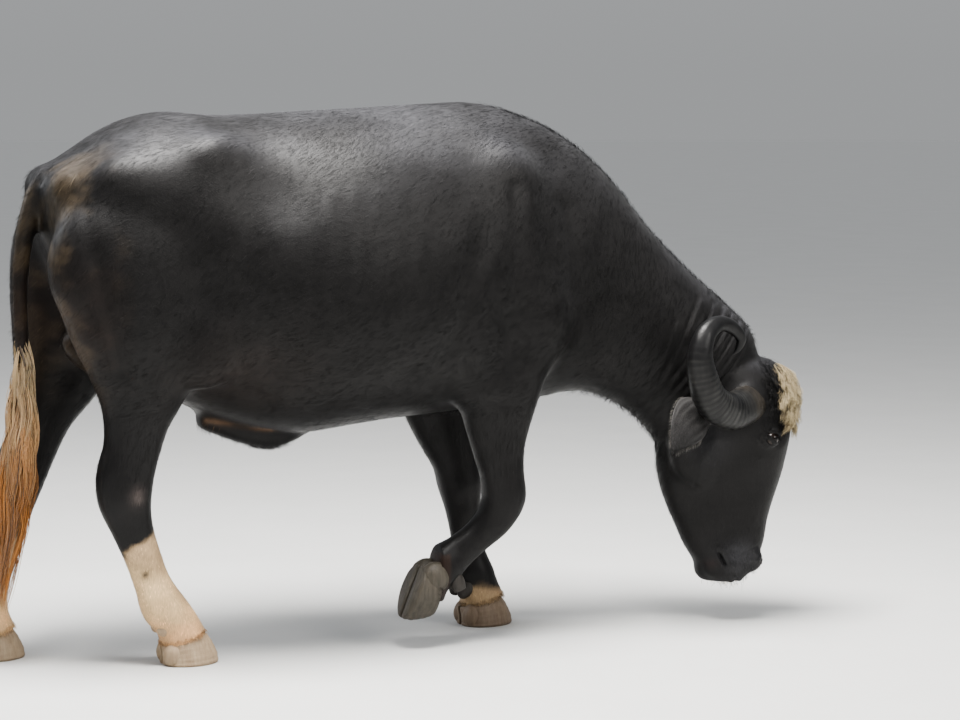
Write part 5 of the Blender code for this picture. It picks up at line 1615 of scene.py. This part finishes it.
class SkinMap:
    # the unwrap of the skin's own shape that every tuft's colour patch is placed on
    def __init__(self, skin):
        copy = skin.copy()
        copy.data = skin.data.copy()
        bpy.context.scene.collection.objects.link(copy)
        thin = copy.modifiers.new("thin", "DECIMATE")
        thin.ratio = 0.02
        applyModifiers(copy)
        bpy.context.view_layer.objects.active = copy
        copy.select_set(True)
        bpy.ops.object.mode_set(mode="EDIT")
        bpy.ops.mesh.select_all(action="SELECT")
        bpy.ops.uv.smart_project(angle_limit=math.radians(66.0), island_margin=0.01)
        bpy.ops.object.mode_set(mode="OBJECT")
        mesh = copy.data
        mesh.calc_loop_triangles()
        layer = mesh.uv_layers.active.data
        points = [v.co[:] for v in mesh.vertices]
        self.corners = np.array([[points[i] for i in tri.vertices] for tri in mesh.loop_triangles])
        self.flat = np.array([[layer[i].uv[:] for i in tri.loops] for tri in mesh.loop_triangles])
        self.tree = BVHTree.FromPolygons(points, [tuple(t.vertices) for t in mesh.loop_triangles])
        bpy.data.objects.remove(copy, do_unlink=True)

    def at(self, places):
        hits = [self.tree.find_nearest(Vector(p)) for p in places]
        index = np.array([h[2] for h in hits])
        spot = np.array([h[0][:] for h in hits])
        a, b, c = self.corners[index].transpose(1, 0, 2)
        ab, ac, ap = b - a, c - a, spot - a
        d00, d01, d11 = (ab * ab).sum(1), (ab * ac).sum(1), (ac * ac).sum(1)
        d20, d21 = (ap * ab).sum(1), (ap * ac).sum(1)
        span = np.maximum(d00 * d11 - d01 * d01, 1e-18)
        v, w = (d11 * d20 - d01 * d21) / span, (d00 * d21 - d01 * d20) / span
        share = np.stack([1.0 - v - w, v, w], axis=1)[:, :, None]
        return (self.flat[index] * share).sum(axis=1)


hairPatch = 0.0028       # side of the patch that each tuft has in the colour map


def hairPiece(name, paths, outs, widths, colours, material, skinMap, thick=0.4, soft=0.0):
    # one closed mesh of strands, with markings, place along the strand and the colour patches
    paths, outs, widths, colours = (np.asarray(some) for some in (paths, outs, widths, colours))
    points, faces, along, each = strandMesh(paths, outs, widths, thick)
    homes = paths[:, 0]
    # one closed mesh of strands, with the colours given (markings, and painted sheen where the skin has it),
    # place along the strand and the colour patches
    piece = triangleMesh(name, placed(points), faces)
    paint(piece.data, "marks", np.repeat(colours, each, axis=0))
    lone = np.random.default_rng(7).random(len(homes))
    paint(piece.data, "strand", np.stack([along, np.repeat(lone, each), along], axis=1))
    uv = skinMap.at(homes)
    half = hairPatch / 2.0
    beside = np.tile(np.linspace(-half, half, each), len(homes))
    patch = np.stack([(along - 0.5) * hairPatch, beside], axis=1)
    perPoint = np.repeat(uv, each, axis=0) + patch
    layer = piece.data.uv_layers.new(name="OFBake")
    layer.data.foreach_set("uv", perPoint[faces.ravel()].astype(np.float32).ravel())
    if soft:      # shade the tufts much as the skin they lie on
        own = normalsOf(piece.data)
        under = np.repeat(outs[:, 0], each, axis=0)
        mixed = own * (1.0 - soft) + under * soft
        mixed /= np.linalg.norm(mixed, axis=1, keepdims=True)
        piece.data.normals_split_custom_set_from_vertices(mixed)
    piece.data.materials.append(material)
    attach(piece, "root")
    return piece


def placed(points):
    # from the shape's own place to the frame's
    out = turned(points)
    out[:, 0] += originShift
    return out


def tangent(direction, normals):
    flat = direction - normals * (direction * normals).sum(1, keepdims=True)
    return flat / (np.linalg.norm(flat, axis=1, keepdims=True) + 1e-9)


def lieOfCoat(points, normals):
    x, _, z = points.T
    lie = np.tile(np.array([-0.80, 0.0, -0.60]), (len(points), 1))
    neck = smoothStep(0.15, 0.35, x)[:, None]
    lie = lie * (1 - neck) + np.array([-0.60, 0.0, -0.80]) * neck
    legs = smoothStep(0.66, 0.55, z)[:, None] * (x < 0.40)[:, None]
    lie = lie * (1 - legs) + np.array([-0.05, 0.0, -1.0]) * legs
    head = headShare(points)[:, None]
    lie = lie * (1 - head) + np.array([-0.35, 0.0, -0.94]) * head
    swirl = noiseAt(points, 9.0, 31)[:, None]
    side = np.cross(normals, lie)
    return tangent(lie + 0.28 * swirl * side, normals)


def drawRoots(skin, density, count, seed):
    # places on the skin, as many as asked for, spread by density
    mesh = skin.data
    mesh.calc_loop_triangles()
    tris = np.empty(len(mesh.loop_triangles) * 3, np.int64)
    mesh.loop_triangles.foreach_get("vertices", tris)
    tris = tris.reshape(-1, 3)
    points, _ = readMesh(mesh)
    normals = normalsOf(mesh)
    a, b, c = points[tris[:, 0]], points[tris[:, 1]], points[tris[:, 2]]
    area = 0.5 * np.linalg.norm(np.cross(b - a, c - a), axis=1)
    weight = area * density((a + b + c) / 3.0, normals[tris[:, 0]])
    draw = np.random.default_rng(seed)
    chosen = draw.choice(len(tris), size=count, p=weight / weight.sum())
    u, v = draw.random(count), draw.random(count)
    flip = u + v > 1.0
    u[flip], v[flip] = 1.0 - u[flip], 1.0 - v[flip]
    share = np.stack([1 - u - v, u, v], axis=1)
    place = (points[tris[chosen]] * share[:, :, None]).sum(axis=1)
    normal = (normals[tris[chosen]] * share[:, :, None]).sum(axis=1)
    return place, normal / np.linalg.norm(normal, axis=1, keepdims=True)


def combed(roots, normals, lie, length, stand, steps, sag=0.0, sink=0.0010):
    # strands that leave the skin and lie along it, bending down by sag of their length
    t = np.linspace(0.0, 1.0, steps)[None, :, None]
    length = np.asarray(length)[:, None, None]
    stand = np.asarray(stand)[:, None, None] if np.ndim(stand) else stand
    rise = np.sin(np.minimum(t * 1.9, 1.57)) * stand
    off = length * rise - sink * (t == 0)
    paths = roots[:, None] + lie[:, None] * length * t + normals[:, None] * off
    paths[:, :, 2] -= (sag * length * t**2)[:, :, 0]
    return paths


def coatDensity(points, normals):
    x, _, z = points.T
    head = headShare(points)
    density = 1.0 + 1.1 * smoothStep(0.5, 0.9, normals[:, 2]) + 0.7 * smoothStep(0.45, 0.25, z)
    density = density * (1 - head) + 2.3 * head
    density *= 1.0 - smoothStep(pollZ - 0.500, pollZ - 0.525, z) * (x > 0.55)
    for side in (-1, 1):
        away = np.linalg.norm(points - (inHead(side * 0.118, *eyeSet["place"])), axis=1)
        density *= smoothStep(0.018, 0.032, away)
    return np.maximum(density, 1e-6)


def makeCoat(skin, skinMap, material):
    roots, normals = drawRoots(skin, coatDensity, coatSet["tufts"], coatSet["seed"])
    draw = np.random.default_rng(coatSet["seed"] + 1)
    x, _, z = roots.T
    head = headShare(roots)
    low = smoothStep(0.50, 0.38, z) * (x < 0.3)
    long, wide = coatSet["length"], coatSet["width"]
    length = long["body"] * (1 - head) + long["head"] * head
    length = length * (1 - low) + long["lowLegs"] * low
    length += 0.006 * smoothStep(0.75, 0.95, normals[:, 2]) * (x > 0.1) * (1 - head)
    length *= draw.uniform(0.65, 1.25, len(roots))
    stand = draw.uniform(0.02, 0.06, len(roots)) * (1 + 0.5 * head)
    width = (wide["body"] * (1 - head) + wide["head"] * head) * draw.uniform(0.7, 1.25, len(roots))
    width *= 1.0 - 0.25 * low
    lie = lieOfCoat(roots, normals)
    lie = tangent(lie + draw.normal(0, 0.16, lie.shape), normals)
    paths = combed(roots, normals, lie, length, stand, 3)
    outs = np.repeat(normals[:, None], 3, axis=1)
    widths = np.stack([width, width * 0.8, width * 0.0], axis=1)
    bright = 0.75 + 1.9 * draw.random((len(roots), 1)) ** 4      # a few hairs catch the light
    colours = markingsAndSheen(roots, normals[:, 2]) * bright
    order = np.argsort(x, kind="stable")
    chunk = coatSet["pieceTufts"]
    for k, start in enumerate(range(0, len(roots), chunk)):
        part = order[start:start + chunk]
        hairPiece(f"coat{k + 1}", paths[part], outs[part], widths[part], colours[part], material, skinMap,
                  thick=0.18, soft=0.75)
    print("coat:", len(roots), "tufts")


# forehead tuft: clumps that spring from the poll and fan out sideways and down

tuftSet = {
    "seed": 12,
    "clumps": 460,
    "strands": 10,           # in a clump
    "length": 0.054,
    "spread": (0.050, 0.098, 0.092),     # half width of the rooted area, from its top down
    "from": 0.024,           # down from the poll
    "to": 0.172,
    "root": (0.200, 0.150, 0.090),
    "tip": (0.370, 0.305, 0.190),
    "under": 1150,           # short strands below the clumps
}


def crawl(tree, start, heading, length, steps, lift):
    # a path over the skin: each step follows it, and lift says how far off it stands
    place, normal, _, _ = tree.find_nearest(Vector(start))
    heading = Vector(heading)
    path, outs = [], []
    for k in range(steps):
        t = k / (steps - 1)
        path.append(np.array(place) + np.array(normal) * lift(t))
        outs.append(np.array(normal))
        heading = (heading - normal * heading.dot(normal)).normalized()
        place, normal, _, _ = tree.find_nearest(place + heading * (length / (steps - 1)))
    return path, outs


def makeTuft(skinTree, skinMap, material):
    draw = np.random.default_rng(tuftSet["seed"])
    steps, paths, outs, widths, colours = 7, [], [], [], []
    for k in range(tuftSet["clumps"]):
        share = draw.uniform(-1.0, 1.0)
        down = tuftSet["from"] + (tuftSet["to"] - tuftSet["from"]) * (k + draw.random()) / tuftSet["clumps"]
        across = share * np.interp((k + 0.5) / tuftSet["clumps"], (0.0, 0.6, 1.0), tuftSet["spread"])
        fan = 1.05 * share + draw.normal(0, 0.16)
        rank = (down - tuftSet["from"]) / (tuftSet["to"] - tuftSet["from"])
        tall = draw.uniform(0.014, 0.034) * (0.55 + 1.8 * rank * (1.0 - rank)) * (1.0 - 0.45 * share * share)
        length = tuftSet["length"] * draw.uniform(0.62, 1.15)
        start = inHead(across, 0.30, down)
        hit, _, _, _ = skinTree.ray_cast(Vector(start), Vector((-1.0, 0.0, 0.0)))
        wave = draw.uniform(0, 6.28)

        def lift(t):
            return -0.002 + tall * math.sin(min(t * 2.0, 1.9)) + 0.003 * math.sin(7.0 * t + wave) * t
        path, normals = crawl(skinTree, hit, (0.0, math.sin(fan), -math.cos(fan)), length, steps, lift)
        path, normals = np.array(path), np.array(normals)
        side = np.cross(np.gradient(path, axis=0), normals)
        side /= np.linalg.norm(side, axis=1, keepdims=True) + 1e-9
        t = np.linspace(0, 1, steps)[:, None]
        gather = 1.0 - 0.60 * t ** 1.3       # strands close up to a point
        shade = draw.uniform(0.80, 1.10)
        for _ in range(tuftSet["strands"]):
            a, b = draw.uniform(-0.011, 0.011), draw.uniform(-0.006, 0.006)
            curl = 0.0022 * np.sin(9.0 * t + draw.uniform(0, 6.28)) * t
            paths.append(path + side * (a * gather + curl) + normals * b * gather)
            outs.append(normals)
            widths.append(draw.uniform(0.0009, 0.0015) * (1.0 - 0.75 * t[:, 0] ** 2))
            dark = draw.random() < 0.07
            mixed = np.array(tuftSet["tip"]) * shade * draw.uniform(0.8, 1.2)
            colours.append(np.array(tuftSet["root"]) * draw.uniform(0.4, 1.0) if dark else mixed)
    t = np.linspace(0, 1, steps)[:, None]
    for _ in range(tuftSet["under"]):
        share, rank = draw.uniform(-1.0, 1.0), draw.random()
        across = share * np.interp(rank, (0.0, 0.6, 1.0), tuftSet["spread"])
        down = tuftSet["from"] + (tuftSet["to"] - tuftSet["from"]) * rank
        fan = 1.05 * share + draw.normal(0, 0.25)
        tall = draw.uniform(0.006, 0.014)
        hit, _, _, _ = skinTree.ray_cast(Vector(inHead(across, 0.30, down)), Vector((-1.0, 0.0, 0.0)))

        def low(t):
            return -0.002 + tall * math.sin(min(t * 2.0, 1.9))
        path, normals = crawl(skinTree, hit, (0.0, math.sin(fan), -math.cos(fan)), 0.034, steps, low)
        paths.append(np.array(path))
        outs.append(np.array(normals))
        widths.append(0.0026 * (1.0 - 0.7 * t[:, 0] ** 2))
        colours.append(np.array(tuftSet["root"]) * draw.uniform(0.8, 1.4))
    return hairPiece("foreheadTuft", paths, outs, widths, colours, material, skinMap)


# tail switch: wavy strands in locks that part from the dock and end one below the other

switchSet = {
    "seed": 13,
    "locks": 56,
    "strands": 18,
    # the line it hangs along and its half thickness, from its top to its tips
    "rows": [
        (-1.201, 0.829, 0.018),
        (-1.198, 0.700, 0.029),
        (-1.208, 0.560, 0.048),
        (-1.228, 0.410, 0.058),
        (-1.252, 0.270, 0.050),
        (-1.274, 0.105, 0.026),
    ],
    "pale": (0.640, 0.490, 0.300),
    "ginger": (0.400, 0.175, 0.052),
    "dark": (0.060, 0.035, 0.020),
    "lowest": 0.107,         # the tips end here, well off the floor
}


def makeSwitch(skinMap, material):
    draw = np.random.default_rng(switchSet["seed"])
    line = fairRows([(x, 0.0, z, half) for x, z, half in switchSet["rows"]], 8)
    shares = np.linspace(0.0, 1.0, len(line))
    steps = 14
    t = np.linspace(0.0, 1.0, steps)
    paths, outs, widths, colours = [], [], [], []
    for k in range(switchSet["locks"]):
        rank = (k + 0.5) / switchSet["locks"]
        start = -0.02 + 0.50 * rank
        end = min(start + draw.uniform(0.28, 0.42) + 0.24 * rank, 1.0 - draw.uniform(0.0, 0.04))
        angle = k * 2.39996 + draw.uniform(-0.3, 0.3)
        wave, pace = draw.uniform(0, 6.28), draw.uniform(7.0, 10.0)
        along = start + (end - start) * t
        middle = np.stack([np.interp(along, shares, line[:, axis]) for axis in range(3)], axis=1)
        half = np.interp(along, shares, line[:, 3])
        swing = angle + 0.35 * np.sin(wave + 5.0 * t) * t
        away = half * (0.20 + 0.72 * np.minimum(t * 2.2, 1.0) - 0.34 * t * t)
        out = np.stack([np.cos(swing), np.sin(swing), np.full(steps, 0.1)], axis=1)
        side = np.stack([-np.sin(swing), np.cos(swing), np.zeros(steps)], axis=1)
        curl = (0.0090 * np.sin(wave + pace * t) * np.minimum(t * 2.5, 1.0))[:, None]
        spine = middle + out * away[:, None] + side * curl + out * curl * 0.5
        gather = (np.minimum(0.35 + 2.2 * t, 1.0) * (1.0 - 0.80 * t ** 2.2))[:, None]
        shade = draw.uniform(0.70, 1.15)
        mix = np.clip(1.45 * rank + draw.uniform(-0.15, 0.15), 0, 1)
        for _ in range(switchSet["strands"]):
            a, b = draw.uniform(-0.017, 0.017), draw.uniform(-0.006, 0.006)
            fine = (0.0018 * np.sin(draw.uniform(0, 6.28) + draw.uniform(9, 15) * t) * t)[:, None]
            reach = draw.uniform(0.86, 1.0)
            strand = spine + side * (a * gather + fine) + out * b * gather
            paths.append(strand[0] + (strand - strand[0]) * reach)
            outs.append(out)
            widths.append(draw.uniform(0.0013, 0.0022) * (1.0 - 0.8 * t ** 2.5))
            tint = np.array(switchSet["pale"]) * (1 - mix) + np.array(switchSet["ginger"]) * mix
            colours.append(np.array(switchSet["dark"]) if draw.random() < 0.07 else
                           tint * shade * draw.uniform(0.75, 1.2))
    paths = np.array(paths)
    paths[:, :, 2] = np.maximum(paths[:, :, 2], switchSet["lowest"])
    return hairPiece("tailSwitch", paths, outs, widths, colours, material, skinMap, thick=0.6)


# longer hair on set lines: crest, throat, brisket, sheath, chin, poll, brows and muzzle

def lineRoots(tree, path, count, spread, draw):
    # places beside a path, brought on to the skin
    path = np.asarray(path, float)
    run = np.concatenate([[0.0], np.cumsum(np.linalg.norm(np.diff(path, axis=0), axis=1))])
    at = draw.random(count) * run[-1]
    spots = np.stack([np.interp(at, run, path[:, axis]) for axis in range(3)], axis=1)
    spots += draw.normal(0, spread, spots.shape)
    hits = [tree.find_nearest(Vector(p)) for p in spots]
    return np.array([h[0][:] for h in hits]), np.array([h[1][:] for h in hits]), at / run[-1]


fringeSet = {
    "seed": 40,
    # path, how many, how far they spread, lie, length, width, stand, sag
    "crest": ([(0.05, 0.0, 1.37), (0.28, 0.0, 1.252), (0.46, 0.0, 1.05), (0.68, 0.0, 0.838),
               (0.76, 0.0, 0.76)],
              2600, 0.016, (-0.70, 0.0, -0.2), 0.028, 0.0008, 0.30, 0.20),
    "throat": ([(0.28, 0.0, 0.60), (0.40, 0.0, 0.575), (0.50, 0.0, 0.50), (0.56, 0.0, 0.42)],
               620, 0.020, (-0.4, 0.0, -0.9), 0.022, 0.0008, 0.35, 0.25),
    "brisket": ([(0.16, 0.0, 0.60), (0.05, 0.0, 0.59), (-0.15, 0.0, 0.578)],
                420, 0.022, (-0.5, 0.0, -0.9), 0.026, 0.0011, 0.35, 0.20),
    "sheath": ([(-0.63, 0.0, 0.510), (-0.58, 0.0, 0.505), (-0.54, 0.0, 0.510)],
               260, 0.010, (0.6, 0.0, -0.8), 0.018, 0.0008, 0.30, 0.15),
    "chin": ([(0.66, 0.04, 0.110), (0.69, 0.0, 0.102), (0.66, -0.04, 0.110)],
             110, 0.018, (0.2, 0.0, -1.0), 0.018, 0.0006, 0.9, 0.10),
    **{"poll" + word: ([inHead(side * 0.050, 0.11, 0.020), inHead(side * 0.078, 0.11, 0.075),
                        inHead(side * 0.082, 0.12, 0.150)],
                       1900, 0.020, (-0.35, side * 0.6, -0.7), 0.022, 0.0008, 0.50, 0.20)
       for side, word in ((-1, "Right"), (1, "Left"))},
    **{"brow" + word: ([inHead(side * 0.092, 0.13, 0.165), inHead(side * 0.100, 0.13, 0.190)],
                       120, 0.010, (0.1, side * 0.6, -0.8), 0.012, 0.0007, 0.50, 0.20)
       for side, word in ((-1, "Right"), (1, "Left"))},
    "muzzle": ([inHead(-0.070, -0.02, 0.500), inHead(-0.066, 0.02, 0.545), inHead(-0.02, 0.06, 0.585),
                inHead(0.02, 0.06, 0.585), inHead(0.066, 0.02, 0.545), inHead(0.070, -0.02, 0.500)],
               620, 0.022, (0.0, 0.0, -1.0), 0.010, 0.00045, 0.85, 0.05),
}
# how much paler than the skin below some of that hair is
fringePaler = {"muzzle": 1.8, "chin": 3.0}


def makeFringes(skinTree, skinMap, material):
    for k, name in enumerate(n for n in fringeSet if n != "seed"):
        path, count, spread, lie, length, width, stand, sag = fringeSet[name]
        draw = np.random.default_rng(fringeSet["seed"] + k)
        roots, normals, _ = lineRoots(skinTree, path, count, spread, draw)
        away = np.tile(np.asarray(lie, float), (count, 1)) + draw.normal(0, 0.25, (count, 3))
        lengths = length * draw.uniform(0.55, 1.2, count)
        steps = 4
        paths = combed(roots, normals, tangent(away, normals), lengths,
                       draw.uniform(0.5, 1.2, count) * stand, steps, sag)
        widths = (width * draw.uniform(0.7, 1.2, count))[:, None] * (1 - 0.75 * np.linspace(0, 1, steps) ** 2)
        colours = markingsAndSheen(roots, normals[:, 2]) * draw.uniform(0.7, 1.5, (count, 1))
        colours *= fringePaler.get(name, 1.0)
        hairPiece(name + "Hair", paths, np.repeat(normals[:, None], steps, axis=1), widths, colours,
                  material, skinMap)


# assembly

def dress(piece, material, replaced, slot=None):
    piece.data.materials.append(material)
    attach(piece, "root")
    if replaced:
        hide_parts(*replaced)


def shifted(form):
    points, faces = form[0], form[1]
    points = np.array(points, float)
    points[:, 0] += originShift
    return points, faces


def headRegion(points):
    return (points[:, 0] > skinLook["headFrom"]) & (points[:, 2] < skinLook["headTop"])


def nearEyes(points, reach):
    out = np.zeros(len(points), bool)
    for side in (-1, 1):
        out |= np.linalg.norm(points - inHead(side * 0.114, *eyeSet["place"]), axis=1) < reach
    return out


def nearMouth(points):
    low = points[:, 2] < pollZ - 0.485
    return low & (points[:, 0] > 0.55)


def wetShare(points):
    # the bare end of the muzzle, between and over the nostrils
    away = np.abs(points - (headAxisX, 0.0, pollZ)) - (0.085, 0.030, 0.560)
    away = np.linalg.norm(away / (0.050, 0.055, 0.045), axis=1)
    return smoothStep(1.15, 0.75, away) * (points[:, 0] > 0.70)


def main():
    makeCamera(photoView)
    makeStudio()
    skin = makeSkin()
    refine(skin, headRegion)
    refine(skin, nearMouth)
    refine(skin, lambda p: nearEyes(p, 0.055))
    refine(skin, lambda p: nearEyes(p, 0.040))
    points, _ = readMesh(skin.data)
    tree = meshTree(skin.data)
    neckFolds(points, normalsOf(skin.data), tree)
    shapeHead(points, normalsOf(skin.data))
    writePoints(skin.data, points)
    shapeMuzzle(points, normalsOf(skin.data))
    writePoints(skin.data, points)
    normals = normalsOf(skin.data)
    for side in (-1, 1):
        shapeNostril(points, normals, side)
    writePoints(skin.data, points)
    points -= normalsOf(skin.data) * skinLook["depth"]
    for side in (-1, 1):
        shapeEye(points, side)
    writePoints(skin.data, points)
    cutFeet(skin)
    print("skin:", len(skin.data.polygons), "faces")

    points, _ = readMesh(skin.data)
    normals = normalsOf(skin.data)
    # the skin's colours, with painted sheen on the trunk's upward-facing parts
    paint(skin.data, "marks", markingsAndSheen(points, normals[:, 2]))
    paint(skin.data, "wet", np.repeat(wetShare(points)[:, None], 3, axis=1))
    skinMap = SkinMap(skin)
    skinTree = meshTree(skin.data)
    print("unwrap done")

    hair = hairMaterial("shortCoat", 0.50, 1.25)
    makeCoat(skin, skinMap, hair)
    makeFringes(skinTree, skinMap, hair)
    makeTuft(skinTree, skinMap, hairMaterial("tuftHair", 0.55, 1.25, 0.15))
    for side in (-1, 1):
        makeEarHair(side, skinMap, hair)
    makeCoronetHair(skinTree, skinMap, hair)
    makeLashes(skinMap, hair)
    switch = makeSwitch(skinMap, hairMaterial("switchHair", 0.50, 1.10, 0.15))
    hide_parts("tail_switch")
    print("hair done")

    writePoints(skin.data, placed(points))
    skin.data.shade_smooth()
    flesh = ["torso", "neck", "head", "tail"]
    flesh += [f"{leg}_leg_{side}_{part}" for leg in ("fore", "hind") for side in ("left", "right")
              for part in ("upper", "lower")]
    dress(skin, hideMaterial(), flesh, "hide")

    horn, eyeLook, earLook = hornMaterial(), eyeMaterial(), hideMaterial()
    hooves = {
        "hind_right": hoofMaterial("paleHoof", (0.300, 0.215, 0.140), (0.420, 0.330, 0.225)),
        "hind_left": hoofMaterial("dustyHoof", (0.240, 0.175, 0.115), (0.370, 0.290, 0.200)),
        "fore_right": hoofMaterial("greyHoof", (0.036, 0.031, 0.023), (0.082, 0.070, 0.053)),
        "fore_left": hoofMaterial("tanHoof", (0.130, 0.092, 0.062), (0.215, 0.160, 0.112)),
    }
    darkDewclaw = hoofMaterial("darkDewclaw", (0.018, 0.016, 0.014), (0.045, 0.038, 0.032))
    for side, word in ((-1, "right"), (1, "left")):
        for kind, makeForm, look, slot in (("horn", hornForm, horn, "horn"),
                                           ("ear", earForm, earLook, "hide"),
                                           ("eye", eyeForm, eyeLook, "eye")):
            form = makeForm(side)
            piece = newPiece(kind + word.title(), *shifted(form))
            paint(piece.data, "marks", form[2])
            dress(piece, look, [f"{kind}_{word}"], slot)
    for foot in feet:
        for side, word in ((-1, "right"), (1, "left")):
            label = "".join(part.title() for part in foot.split("_")) + word.title()
            piece = newPiece("claw" + label, *shifted(clawForm(foot, side)))
            dress(piece, hooves[foot], [f"claw_{foot}_{word}"], "hoof")
            piece = newPiece("dewclaw" + label, *shifted(dewclawForm(foot, side)))
            dress(piece, hooves[foot] if foot.startswith("hind") else darkDewclaw,
                  [f"dewclaw_{foot}_{word}"], "hoof")
        label = "".join(part.title() for part in foot.split("_"))
        dress(newPiece("heel" + label, *shifted(heelForm(foot))), hooves[foot], [], "hoof")
    print("horns, ears, eyes and hooves done")

    total = sum(len(f.vertices) - 2 for ob in bpy.data.objects if ob.type == "MESH" for f in ob.data.polygons)
    print("triangles in all:", total)


main()
